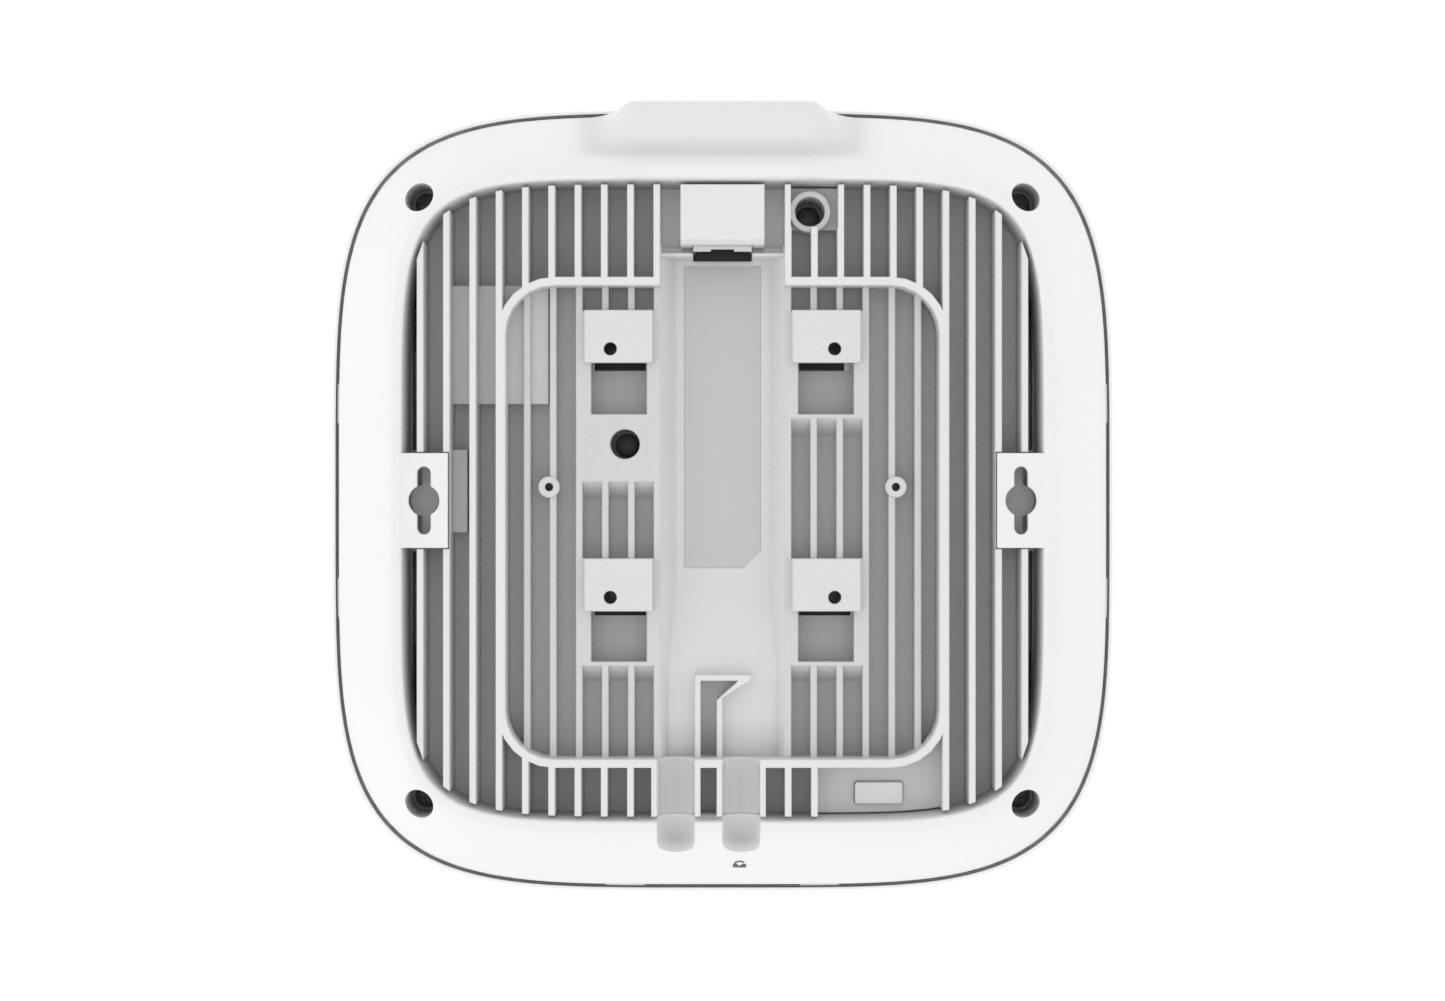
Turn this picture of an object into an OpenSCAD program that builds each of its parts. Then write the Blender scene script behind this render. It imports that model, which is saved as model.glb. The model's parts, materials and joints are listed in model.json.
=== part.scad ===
// Ceiling access point, lying on its flat front face with its mounting side up.
// X runs across the unit, Y towards the bump in the rim, Z from the front face to the mounting side.
// The origin is at the middle of the front face.

/* [Housing] */
// Width and depth of the housing over its widest line
body_w = 220; // [205:1:270]
// Height from the front face to the crest of the rear rim
body_h = 42; // [38:0.5:52]
// Squareness of the outline, where 2 is a circle
outline_power = 4.4; // [3.5:0.1:6]
// Radius of the soft edge round the front face
front_round = 20; // [14:0.5:21]
// Wall of the front cover and the rear bezel
shell_wall = 2.5; // [2:0.1:3]

/* [Seam] */
// Width of the cover's rim that shows outside the seam
rim_w = 2.4; // [1.9:0.1:2.9]
// Open gap between the cover's rim and the bezel
seam_gap = 0.5; // [0.3:0.05:0.8]
// Height of the seam above the widest line
seam_rise = 3.5; // [3:0.1:4.5]

/* [Rear bezel] */
// Width of the sloping ring between the seam and the rear opening
ring_w = 21.2; // [17.6:0.2:25.6]
// Width of the flat crest beside the rear opening
crest_w = 3.6; // [2:0.2:5]
// Squareness of the rear opening
opening_power = 6.3; // [5:0.1:8]
// Flat width of the bump
bump_w = 52; // [40:1:70]
// Depth of the bump, inwards from the outline
bump_l = 17; // [14:0.5:20]
// Drop from the rim's crest to the top of the bump
bump_drop = 2; // [1:0.2:4]
// Rounding of the bump's upper edges
bump_round = 5; // [3:0.2:6]

/* [Corner screws] */
// Distance of each corner screw from the outline, along X and along Y
corner_inset = 27; // [25:0.2:29]
// Diameter of a corner screw's mouth in the bezel
corner_mouth_d = 8.4; // [7.6:0.1:9.4]

/* [Keyhole plates] */
// Distance of the keyhole's centre from the outline
keyhole_inset = 28.8; // [28:0.1:30]
// Diameter of the keyhole's middle
keyhole_d = 8.5; // [7.5:0.1:9.5]
// Width of the keyhole's slots
keyhole_slot_w = 3.75; // [3:0.05:4.5]
// Length of the slots, end to end
keyhole_slot_l = 18.5; // [16:0.1:20]
// Length of the keyhole plate along the rim
keyhole_plate_l = 25.8; // [24:0.2:30]
// Thickness of the keyhole plate
keyhole_plate_t = 2; // [1.6:0.1:2.4]

/* [Heat sink] */
// Distance from fin to fin
fin_pitch = 7.16; // [6.4:0.02:8.6]
// Thickness of a fin
fin_t = 1.8; // [1.5:0.1:2.2]
// Height of the outer fins above their floor
fin_h = 12; // [10:0.2:13]
// Thickness of the heat sink's plate
plate_t = 3; // [2.6:0.1:3.4]
// Overhang of the plate under the bezel
flange_w = 5; // [4:0.2:6]

/* [Bracket recess] */
// Width of the recess over its rib
recess_w = 122.8; // [110:0.2:126]
// Length of the recess over its rib
recess_l = 133.7; // [126:0.1:136]
// Shift of the recess away from the bump
recess_shift = 5.95; // [4:0.05:7]
// Radius of the recess's corners
recess_r = 15.5; // [12:0.5:20]
// Width of the rib round the recess
rib_t = 2.3; // [1.8:0.1:3]
// Depth of the recess below the fin tops
recess_depth = 5.5; // [4:0.1:6.5]

/* [Bracket hooks] */
// Distance between the tab holes across the unit
tab_span_x = 61.4; // [58:0.1:66]
// Distance between the tab holes along the unit
tab_span_y = 68; // [64:0.1:72]
// Middle of the four tab holes along Y
tab_mid_y = 7.5; // [5:0.1:9]
// Diameter of a tab hole
tab_hole_d = 3.6; // [3:0.1:4.5]
// Width of a tab
tab_w = 18.7; // [17:0.1:20]
// Length of a tab
tab_l = 14.4; // [12:0.1:16]
// Height of a tab above the fins in the recess
tab_rise = 3; // [2:0.1:4]
// Thickness of a tab's free edge
tab_t = 2.2; // [1.8:0.1:2.6]
// Width of the pocket that a hook drops into
pocket_w = 15.3; // [13:0.1:16]
// Open length of the pocket beyond the tab
pocket_l = 15; // [12:0.1:16]

/* [Cable channel] */
// Width of the channel at the level of the recess
channel_w = 34; // [32:0.2:35]
// Width of the channel's floor
channel_floor_w = 26; // [24:0.2:28]
// Depth of the channel's floor below the fins' floor
channel_sink = 2.8; // [2:0.1:3]
// Width of the label
label_w = 21; // [16:0.5:23]
// Length of the label
label_l = 83.7; // [60:0.5:86]
// Thickness of the label
label_t = 0.2; // [0.1:0.05:0.3]
// Width of the cable grooves that leave through the rim
groove_w = 10.2; // [8:0.2:11]
// X of the first groove's middle
groove_x1 = -12.7; // [-14:0.1:-11.5]
// X of the second groove's middle
groove_x2 = 5.1; // [4.6:0.1:6]
// Depth of the grooves below the rim's crest
groove_depth = 8.5; // [7:0.1:9]

/* [Ethernet port] */
// Width of the jack
jack_w = 16; // [15.4:0.1:17]
// Height of the jack above the main board
jack_h = 14.6; // [13.4:0.1:15]
// Length of the jack
jack_l = 15.6; // [13:0.1:16]
// Wall of the cast block beside the jack
block_wall = 3.3; // [2.5:0.1:3.4]
// Width of the plug's way into the jack
plug_way_w = 11.9; // [11.7:0.1:12.2]
// Height of the plug's way into the jack
plug_way_h = 8.4; // [8:0.1:8.6]
// Thickness of the jack's sheet metal
jack_sheet = 0.4; // [0.3:0.05:0.5]

/* [Bracket screw posts] */
// Distance between the two screw posts
post_span = 95.2; // [92:0.1:98]
// Y of the screw posts
post_y = 3.7; // [-2:0.1:8]
// Outer diameter of a screw post
post_d = 5.8; // [5:0.1:7]
// Diameter of a screw post's hole
post_hole_d = 2.3; // [2:0.1:3]

/* [Service plug] */
// Width of the service plug
service_w = 13.2; // [12:0.1:16]
// Length of the service plug
service_l = 6; // [5:0.1:7]
// X of the service plug
service_x = 43; // [40:0.5:46]
// Height of the plug above the floor round it
service_rise = 1.6; // [1:0.1:2.4]
// Gap between the plug and its hole
service_gap = 0.15; // [0.1:0.05:0.6]

/* [Screws] */
// Diameter of the housing screws' heads
head_d = 6.5; // [5.4:0.1:7]
// Height of the housing screws' heads
head_h = 2.2; // [1.8:0.1:2.6]
// Diameter of the housing screws' shanks
shank_d = 3; // [2.5:0.1:3.4]
// Clearance between a shank and its hole, on the radius
shank_gap = 0.05; // [0.03:0.01:0.1]

/* [Inside] */
// Thickness of the main board
board_t = 1.6; // [1.2:0.1:2]
// Height of the space for chips between the board and the heat sink's plate
chip_space = 3.5; // [3.2:0.1:4]
// Height of the space between the tray and the board
tray_space = 7.7; // [6.5:0.1:9]
// Thickness of the antenna tray
tray_t = 1.2; // [0.8:0.1:1.6]
// Height of the antennas below the tray
antenna_h = 7.6; // [5:0.1:8]
// Diameter of the light pipe
pipe_d = 4.8; // [3:0.1:6]

/* [Hidden] */
$fn = 48;
OUTLINE_POINTS = 96;
ARC_POINTS = 6;
EPS = 0.01;      // overshoot that makes a cut run clean through
FIT = 0.3;       // clearance between separate pieces that don't seat on each other

// Outlines
half = body_w / 2;
seam_half = half - rim_w;
opening_half = seam_half - ring_w;

// Heights
belt_z = front_round;
seam_z = belt_z + seam_rise;
bezel_edge_z = seam_z - 1.5;
ledge_z = belt_z + 0.5;
crest_z = body_h;
fin_top = crest_z - 1;
floor_z = fin_top - fin_h;
plate_z = floor_z - plate_t;
recess_z = fin_top - recess_depth;
platform_z = recess_z;
channel_z = floor_z - channel_sink;
tab_top = recess_z + tab_rise;
pocket_z = floor_z - 1.5;
board_top = plate_z - chip_space;
board_z = board_top - board_t;
tray_top = board_z - tray_space;
tray_z = tray_top - tray_t;
bump_top = crest_z - bump_drop;
keyhole_top = crest_z - 0.5;
keyhole_floor = keyhole_top - 7;

// Places
corner_at = half - corner_inset;
keyhole_x = half - keyhole_inset;
keyhole_edge = keyhole_x - 6.5;
tab_x = tab_span_x / 2;
tab_centre_x = tab_x - 2.25;
tab_rows = [tab_mid_y + tab_span_y / 2, tab_mid_y - tab_span_y / 2];
tab_edge_drop = 3.8;                      // from a tab hole to the tab's free edge
recess_low = -recess_l / 2 - recess_shift;
block_front = opening_half - 19.4;        // foot of the ethernet block's sloping face
jack_front = block_front + 1.2;
heat_screws = [[24, opening_half - 7.1], [-26.8, 15.5]];
heat_mouth_z = [recess_z + 0.5, recess_z];
heat_seat_z = board_z - 0.9;
heat_boss_r = head_d / 2 + 2.4;
heat_boss_foot = heat_seat_z - 1.8;
corner_seat_z = ledge_z;
corner_boss_r = corner_mouth_d / 2 + 1.8;
corner_boss_foot = corner_seat_z - 2;
service_y = -opening_half + 5.9;
service_floor = floor_z + 4;
service_ledge = service_floor - 2;
service_flat = [3.5 * fin_pitch, 8.5 * fin_pitch - fin_t / 2];  // X range of the flat round the plug
groove_xs = [groove_x1, groove_x2];
groove_end = -opening_half - 11;
pipe_at = [0, -60];
tray_posts = [[55, 55], [-55, 55], [55, -50], [-55, -50]];
board_posts = [[70, 38], [-78, 20], [70, -38], [-70, -38]];
feed_places = [for (p = [[72, 0], [-72, 8], [20, 72], [-20, 66], [60, 66], [-60, 66], [60, -64], [-60, -64]])
    p + (half - 110) * [sign(p.x), sign(p.y)]];
fin_last = floor((opening_half - fin_t / 2 - 1) / fin_pitch - 0.5);
transformer_pocket = [[-73, 28], [-49.5, 57.7]];
block_low = [[-74.5, 26.6], [-47.9, 59.2]];
block_high_z = floor_z + 4.5;
side_block = [[-74.5, -8.8], [-70.3, 14]];
slab_low = heat_screws[0].y - 4.8;        // lower edge of the slab round the first heat sink screw
slab_z = floor_z + 4;
shelf_z = floor_z + 2;                    // top of the shelf in front of the ethernet block
slit_l = 48;                              // length of the slits beside the outermost fins
platform_fin = 5.5;                       // platforms end in the fin at this many pitches
platform_run = 4.8;                       // length of the slope at a platform's end
channel_rise = [-22, -46];                // Y range over which the channel's floor rises
chip_h = 1.6;
radio_places = [[-46, -20], [46, -20], [46, 30]];
radio_can = [24, 20, chip_h + 1.2];
jack_z = board_top + 0.1;
way_z = channel_z + 0.5;

// Outlines and skins ---------------------------------------------------------------------------

function squircle_r(size, power, angle) =
    size / pow(pow(abs(cos(angle)), power) + pow(abs(sin(angle)), power), 1 / power);

function squircle(size, power) = [for (i = [0:OUTLINE_POINTS - 1])
    let (a = 360 * i / OUTLINE_POINTS) squircle_r(size, power, a) * [cos(a), sin(a)]];

function at_height(points, z) = [for (p = points) [p.x, p.y, z]];

function arc(centre, radius, from, to) = [for (i = [0:ARC_POINTS])
    centre + radius * [cos(from + (to - from) * i / ARC_POINTS),
                       sin(from + (to - from) * i / ARC_POINTS)]];

function rounded_rect(w, l, r) = concat(
    arc([w / 2 - r, l / 2 - r], r, 0, 90), arc([r - w / 2, l / 2 - r], r, 90, 180),
    arc([r - w / 2, r - l / 2], r, 180, 270), arc([w / 2 - r, r - l / 2], r, 270, 360));

// A slot's outline with round ends, along Y
function stadium(w, l) = concat(arc([0, (l - w) / 2], w / 2, 0, 180), arc([0, (w - l) / 2], w / 2, 180, 360));

// A groove's section: round bottom at y = 0, open at the top
function groove_section(w, h) = concat([[w / 2, h]], [[-w / 2, h]], arc([0, w / 2], w / 2, 180, 360));

// Faces between ring j and ring k of n points each
function band(j, k, n) = [for (i = [0:n - 1]) let (a = j * n + i, b = j * n + (i + 1) % n,
    c = k * n + (i + 1) % n, d = k * n + i) each [[a, d, c], [a, c, b]]];

// A skin through rings, closed by its first and its last ring
module capped_skin(rings) {
    n = len(rings[0]);
    m = len(rings);
    polyhedron(points = [for (r = rings) each r], faces = concat([[for (i = [0:n - 1]) i]],
        [for (j = [0:m - 2]) each band(j, j + 1, n)], [[for (i = [n - 1:-1:0]) (m - 1) * n + i]]));
}

// A skin through rings whose last ring joins the first, so it has a hole through it
module hollow_skin(rings) {
    n = len(rings[0]);
    m = len(rings);
    polyhedron(points = [for (r = rings) each r],
        faces = [for (j = [0:m - 1]) each band(j, (j + 1) % m, n)]);
}

module at_corners(d) {
    for (x = [-d, d], y = [-d, d]) translate([x, y, 0]) children();
}

module at_places(places) {
    for (p = places) translate([p.x, p.y, 0]) children();
}

// A prism from z0 to z1 over a list of points
module prism(points, z0, z1) {
    translate([0, 0, z0]) linear_extrude(z1 - z0) polygon(points);
}

// A box between two corners
module block(low, high) {
    translate(low) cube(high - low);
}

// A cross-head screw, seated at z = 0 with its shank downwards
module cross_screw(d, h, shank, length) {
    difference() {
        union() {
            cylinder(d = d, h = h);
            translate([0, 0, -length]) cylinder(d = shank, h = length + EPS);
        }
        for (turn = [0, 90]) rotate(turn)
            translate([-0.31 * d, -0.07 * d, h * 0.45]) cube([0.62 * d, 0.14 * d, h]);
    }
}

// Housing --------------------------------------------------------------------------------------

module front_cover() {
    steps = 7;
    outer = [for (i = [0:steps]) let (t = 90 * i / steps)
        [half - front_round + front_round * sin(t), front_round * (1 - cos(t))]];
    inner_r = front_round - shell_wall;
    inner = [for (i = [steps:-1:0]) let (t = 90 * i / steps)
        [half - front_round + inner_r * sin(t), front_round - inner_r * cos(t)]];
    rim = [[half - 0.25, belt_z + seam_rise / 2], [half - 0.9, seam_z - 0.2],
        [seam_half + seam_gap, seam_z - 0.2], [seam_half + seam_gap, ledge_z],
        [half - shell_wall, ledge_z]];
    color("whitesmoke") difference() {
        union() {
            capped_skin([for (p = concat(outer, rim, inner)) at_height(squircle(p[0], outline_power), p[1])]);
            at_corners(corner_at) translate([0, 0, 3.7]) cylinder(r = 4.5, h = corner_boss_foot - 3.7);
            at_places(tray_posts) translate([0, 0, shell_wall - 0.5])
                cylinder(r = 3.5, h = tray_z - shell_wall + 0.5);
        }
        at_corners(corner_at) translate([0, 0, 7])
            cylinder(r = shank_d / 2 + shank_gap, h = corner_boss_foot);
        at_places(tray_posts) translate([0, 0, 4]) cylinder(r = shank_d / 2 + shank_gap, h = tray_z);
        translate([pipe_at.x, pipe_at.y, -EPS]) cylinder(d = pipe_d + 2 * shank_gap, h = shell_wall + 1);
    }
}

// Height of the bezel's outer face at a distance outwards from the rear opening
function ring_z(out) = crest_z - (crest_z - seam_z - 0.3)
    * pow(max(0, out - crest_w) / (ring_w - crest_w), 1.15);

// A ring of the bezel at a distance outwards from the rear opening
function bezel_ring(out, z) = [for (i = [0:OUTLINE_POINTS - 1]) let (a = 360 * i / OUTLINE_POINTS,
    r = squircle_r(opening_half, opening_power, a) * (1 - out / ring_w)
        + squircle_r(seam_half, outline_power, a) * out / ring_w) [r * cos(a), r * sin(a), z]];

module bump(inset) {
    r = bump_round - inset;
    wide = bump_w / 2;
    base = bezel_edge_z + 2 - inset;
    hull() {
        for (x = [-wide, wide], y = [half - bump_round, half - bump_l + bump_round])
            translate([x, y, bump_top - bump_round]) sphere(r = r, $fn = 32);
        block([-wide - 2 * bump_round + inset, half - bump_l + inset, base],
            [wide + 2 * bump_round - inset, half - inset, base + 1]);
    }
}

module corner_boss() {
    difference() {
        translate([0, 0, corner_boss_foot]) cylinder(r = corner_boss_r, h = crest_z - 1 - corner_boss_foot);
        // the boss stops just under the sloping face of the ring
        translate([0, 0, crest_z - 4.2]) rotate([0, 45, 0]) translate([-40, -20, 0]) cube([80, 40, 40]);
    }
}

module keyhole_box() {
    wide = keyhole_plate_l / 2;
    wall = 1.6;
    block([keyhole_edge, -wide, keyhole_top - keyhole_plate_t], [opening_half + 0.5, wide, keyhole_top]);
    block([keyhole_edge, -wide, keyhole_floor - wall], [keyhole_x + 1.4, wide, keyhole_floor]);
    translate([keyhole_x, 0, keyhole_floor - wall]) cylinder(d = keyhole_d + 0.7, h = wall);
    block([keyhole_edge, -wide, keyhole_floor - wall], [keyhole_edge + wall, wide, keyhole_top]);
    for (y = [-wide, wide - wall])
        block([keyhole_edge, y, keyhole_floor - wall], [opening_half + 0.5, y + wall, keyhole_top]);
}

// Short ribs that centre the bezel in the cover's rim
module seam_ribs() {
    rib_l = 10.7;
    intersection() {
        difference() {
            prism(squircle(seam_half + seam_gap * 0.6, outline_power), bezel_edge_z + 0.2, seam_z - 0.3);
            prism(squircle(seam_half - 1, outline_power), bezel_edge_z, seam_z);
        }
        for (turn = [0, 180, 270], y = [-27, 27]) rotate(turn)
            block([0, y - rib_l / 2, 0], [half, y + rib_l / 2, crest_z]);
    }
}

module rear_bezel() {
    steps = 6;
    slope = [for (i = [0:steps]) let (out = ring_w - (ring_w - crest_w) * i / steps) [out, ring_z(out)]];
    section = concat(slope, [[0.8, crest_z], [0, crest_z - 0.8], [0, floor_z + FIT],
        [shell_wall, floor_z + FIT], [shell_wall, crest_z - shell_wall - 1],
        [ring_w - shell_wall, bezel_edge_z], [ring_w, bezel_edge_z]]);
    color("white") difference() {
        union() {
            hollow_skin([for (p = section) bezel_ring(p[0], p[1])]);
            bump(0);
            seam_ribs();
            for (turn = [0:90:270]) rotate(turn + 45) translate([corner_at * sqrt(2), 0, 0]) corner_boss();
            for (side = [0, 1]) mirror([side, 0, 0]) keyhole_box();
            // floor of the cable grooves under the rim
            translate([groove_x1 - groove_w / 2 - 2, 0, 0]) rotate([90, 0, 90])
                linear_extrude(groove_x2 - groove_x1 + groove_w + 4)
                polygon([[-opening_half - 1, crest_z - groove_depth - 2],
                    [groove_end - 2, crest_z - groove_depth - 2],
                    [groove_end - 2, ring_z(13) - 0.6], [-opening_half - crest_w, crest_z - 0.6],
                    [-opening_half - 1, crest_z - 0.9]]);
        }
        intersection() {
            bump(shell_wall);
            block([-half, opening_half + shell_wall, 0], [half, seam_half - 1, crest_z]);
        }
        at_corners(corner_at) {
            translate([0, 0, corner_seat_z]) cylinder(d = corner_mouth_d, h = crest_z);
            cylinder(r = shank_d / 2 + 4 * shank_gap, h = crest_z);
        }
        for (side = [0, 1]) mirror([side, 0, 0]) translate([keyhole_x, 0, 0]) {
            translate([0, 0, keyhole_floor]) cylinder(d = keyhole_d, h = crest_z);
            prism(stadium(keyhole_slot_w, keyhole_slot_l), keyhole_floor + 1, crest_z);
        }
        for (x = groove_xs) translate([x, -opening_half + 2, crest_z - groove_depth]) rotate([90, 0, 0])
            linear_extrude(-opening_half + 2 - groove_end)
            polygon(groove_section(groove_w, groove_depth + 1));
    }
}

module seam_gasket() {
    color("black") difference() {
        prism(squircle(seam_half + seam_gap - 0.1, outline_power), ledge_z, bezel_edge_z - 0.1);
        prism(squircle(half - shell_wall - 1, outline_power), ledge_z - 1, bezel_edge_z + 1);
    }
}

// The open padlock is printed on the sloping ring beside the second groove
module padlock_mark() {
    out = 14.1;
    tilt = atan((ring_z(out) - ring_z(out + 1)));
    w = 3.6;
    color("dimgray") translate([groove_x2 - 0.4, -opening_half - out, ring_z(out) + 0.08])
        rotate([tilt, 0, 0]) linear_extrude(0.1) {
            difference() {
                translate([-w / 2, -1.5]) square([w, 1.5]);
                polygon([[-0.6, EPS], [0.6, EPS], [0.25, -0.8], [-0.25, -0.8]]);
            }
            difference() {
                translate([0, 0.2]) circle(d = w - 0.6);
                translate([0, 0.2]) circle(d = w - 1.5);
                translate([0, -w]) square([w, w + 0.7]);
                translate([-w, -2 * w]) square([2 * w, 2 * w]);
            }
        }
}

// Heat sink ------------------------------------------------------------------------------------

module recess_prism(inset, z0, z1) {
    translate([0, -recess_shift, 0])
        prism(rounded_rect(recess_w - 2 * inset, recess_l - 2 * inset, recess_r - inset), z0, z1);
}

module fin_row(top) {
    for (i = [2:fin_last], side = [-1, 1])
        translate([side * (i + 0.5) * fin_pitch - fin_t / 2, -opening_half, floor_z - EPS])
            cube([fin_t, 2 * opening_half, top - floor_z + EPS]);
}

// The flat beside the recess's rounded corner, which the service plug stands in
module service_area(inset, z0, z1) {
    difference() {
        block([service_flat[0] + inset, -half, z0], [service_flat[1], recess_low + recess_r, z1]);
        recess_prism(rib_t / 2, z0 - 1, z1 + 1);
    }
}

// Fins over the whole opening, lowered inside the recess
module fins() {
    intersection() {
        prism(squircle(opening_half - FIT, opening_power), floor_z - 1, fin_top);
        union() {
            difference() {
                fin_row(fin_top);
                recess_prism(rib_t / 2, recess_z, crest_z);
                service_area(fin_t / 2, floor_z, crest_z);
                block([2.6 * fin_pitch, slab_low, floor_z], [4.4 * fin_pitch, half, crest_z]);
            }
            difference() {
                recess_prism(0, floor_z - EPS, fin_top);
                recess_prism(rib_t, floor_z - 1, crest_z);
            }
            service_area(0, floor_z - EPS, service_floor);
        }
    }
}

// A flat place between the channel and the fin beyond the tabs, with a slope at its lower end
module platform(low_y, high_y) {
    edge = platform_fin * fin_pitch;
    translate([channel_w / 2, 0, 0]) rotate([90, 0, 90]) linear_extrude(edge - channel_w / 2)
        polygon([[low_y - platform_run, floor_z - EPS], [low_y, platform_z],
            [high_y, platform_z], [high_y, floor_z - EPS]]);
}

// Flat places inside the recess, round the hooks and the middle screw
module platforms() {
    top_edge = tab_l - tab_edge_drop;
    open_edge = tab_edge_drop + pocket_l;
    for (side = [0, 1]) mirror([side, 0, 0]) {
        platform(tab_rows[1] - open_edge, tab_rows[1] + top_edge);
        platform(side == 0 ? tab_rows[0] - open_edge : heat_screws[1].y - 10.2, tab_rows[0] + top_edge);
    }
}

// Slab round the screw beside the ethernet block, up to the fins on both sides
module screw_slab() {
    intersection() {
        prism(squircle(opening_half - FIT, opening_power), floor_z - EPS, heat_mouth_z[0]);
        block([2.5 * fin_pitch, slab_low, floor_z - EPS], [4.5 * fin_pitch, opening_half, slab_z]);
    }
}

module hook_tabs() {
    for (side = [-1, 1], y = tab_rows) translate([side * tab_centre_x, y, 0])
        block([-tab_w / 2, -tab_edge_drop, platform_z - EPS], [tab_w / 2, tab_l - tab_edge_drop, tab_top]);
}

module hook_pockets() {
    for (side = [-1, 1], y = tab_rows) {
        translate([side * tab_centre_x, y - tab_edge_drop, 0]) {
            block([-pocket_w / 2, -pocket_l + 1, pocket_z], [pocket_w / 2, 8, tab_top - tab_t]);
            block([-pocket_w / 2, -pocket_l + 1, pocket_z], [pocket_w / 2, -EPS, crest_z]);
            // the plate is open under the tab
            block([-pocket_w / 2 + 0.5, -1.6, plate_z - 1], [pocket_w / 2 - 0.5, 7.5, pocket_z + 1]);
        }
        translate([side * tab_x, y, pocket_z]) cylinder(d = tab_hole_d, h = crest_z);
    }
}

module channel_walls() {
    wall = 2.2;
    for (side = [-1, 1]) translate([side * (channel_w / 2 + wall / 2 - 0.3), 0, 0])
        block([-wall / 2, recess_low + rib_t / 2, floor_z - EPS], [wall / 2, block_front + 3, recess_z]);
    block([-channel_w / 2 - 0.5, recess_low, channel_z - 2.4],
        [channel_w / 2 + 0.5, block_front + 1, recess_z]);
}

module channel_cut() {
    top = channel_w / 2;
    foot = channel_floor_w / 2;
    translate([0, block_front, 0]) rotate([90, 0, 0]) linear_extrude(block_front - recess_low - rib_t)
        polygon([[-foot, channel_z], [foot, channel_z], [top, recess_z], [top, crest_z],
            [-top, crest_z], [-top, recess_z]]);
    // the label's shallow seat
    prism(label_outline(0.25), channel_z - label_t, channel_z + 1);
}

// Label outline with one cut corner
function label_outline(grow) = let (w = label_w / 2 + grow, top = block_front - 1.9 + grow,
    low = block_front - 1.9 - label_l - grow, cut = 4.9)
    [[-w, low], [w - cut, low], [w, low + cut], [w, top], [-w, top]];

// The channel's floor rises towards the rim and splits round an island into two grooves
module channel_island() {
    rise_z = floor_z + 2;
    top = channel_w / 2;
    island = groove_x1 + groove_w / 2;
    leg = groove_x2 - groove_w / 2 - 1.6;
    difference() {
        union() {
            translate([-top, 0, 0]) rotate([90, 0, 90]) linear_extrude(2 * top)
                polygon([[recess_low, channel_z - EPS], [channel_rise[0], channel_z - EPS],
                    [channel_rise[1], rise_z], [recess_low, rise_z]]);
            block([island, recess_low, rise_z - EPS], [8, -47.9, recess_z + 0.5]);
        }
        // the island is open down to the plate
        prism([[island + 1.6, recess_low + rib_t], [leg, recess_low + rib_t], [leg, -54.9], [4.4, -49.5],
            [island + 1.6, -49.5]], plate_z + 1, crest_z);
        prism([[leg + 1.6, recess_low - 1], [leg + 1.6, -54.2], [9, -48.6], [9, recess_low - 1]],
            rise_z, crest_z);
    }
    // bar across the foot of the island, and the walls of the grooves below the rib
    block([island, recess_low, floor_z - EPS], [leg + 1.6, recess_low + rib_t, fin_top]);
    intersection() {
        prism(squircle(opening_half - FIT, opening_power), floor_z - 1, fin_top);
        union() {
            for (x = [groove_x1 - groove_w / 2 - 1.6, island, leg, groove_x2 + groove_w / 2])
                block([x, -opening_half, floor_z - EPS], [x + 1.6, recess_low + rib_t, fin_top]);
            for (x = groove_xs) block([x - groove_w / 2, -opening_half, floor_z - EPS],
                [x + groove_w / 2, recess_low + rib_t, crest_z - groove_depth + 2]);
        }
    }
}

module groove_cuts() {
    for (x = groove_xs) translate([x, -66, crest_z - groove_depth]) rotate([90, 0, 0])
        linear_extrude(opening_half) polygon(groove_section(groove_w, groove_depth + 1));
}

module ethernet_block() {
    wide = jack_w / 2 + block_wall + FIT / 2;
    back = opening_half - FIT;
    shelf = [[block_front, channel_z - 2.4], [block_front, shelf_z - 0.8], [block_front + 0.6, shelf_z]];
    translate([-wide, 0, 0]) rotate([90, 0, 90]) linear_extrude(2 * wide)
        polygon(concat([[back, channel_z - 2.4]], shelf, [[block_front + 2.4, shelf_z],
            [block_front + 2.9, fin_top - 1.4], [block_front + 4, fin_top], [back, fin_top]]));
    // the shelf under the block runs across the channel
    translate([0.2 - channel_w / 2, 0, 0]) rotate([90, 0, 90]) linear_extrude(channel_w - 0.4)
        polygon(concat([[block_front + 2.8, channel_z - 2.4]], shelf, [[block_front + 2.8, shelf_z]]));
}

// Everything that stands on the plate before the channel is cut
module plate_and_fins() {
    prism(squircle(opening_half + flange_w, opening_power), plate_z, floor_z);
    fins();
    platforms();
    screw_slab();
    channel_walls();
    block([block_low[0].x, block_low[0].y, floor_z - EPS], [block_low[1].x, block_low[1].y, block_high_z]);
    block([side_block[0].x, side_block[0].y, floor_z - EPS],
        [side_block[1].x, side_block[1].y, block_high_z]);
}

// Round bosses of the two screws through the heat sink, and the two screw posts
module screw_bosses() {
    for (i = [0, 1]) translate([heat_screws[i].x, heat_screws[i].y, heat_boss_foot])
        cylinder(r = heat_boss_r, h = heat_mouth_z[i] - heat_boss_foot);
    for (x = [-post_span / 2, post_span / 2]) translate([x, post_y, floor_z - EPS])
        cylinder(d = post_d, h = recess_z + 1 - floor_z);
}

module screw_holes() {
    for (p = heat_screws) translate([p.x, p.y, 0]) {
        translate([0, 0, heat_seat_z]) cylinder(d = head_d + 1.7, h = crest_z);
        translate([0, 0, heat_boss_foot - 1]) cylinder(r = shank_d / 2 + 4 * shank_gap, h = crest_z);
    }
    for (x = [-post_span / 2, post_span / 2]) translate([x, post_y, floor_z])
        cylinder(d = post_hole_d, h = crest_z);
    at_corners(corner_at) cylinder(r = corner_boss_r + FIT, h = crest_z);
}

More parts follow.
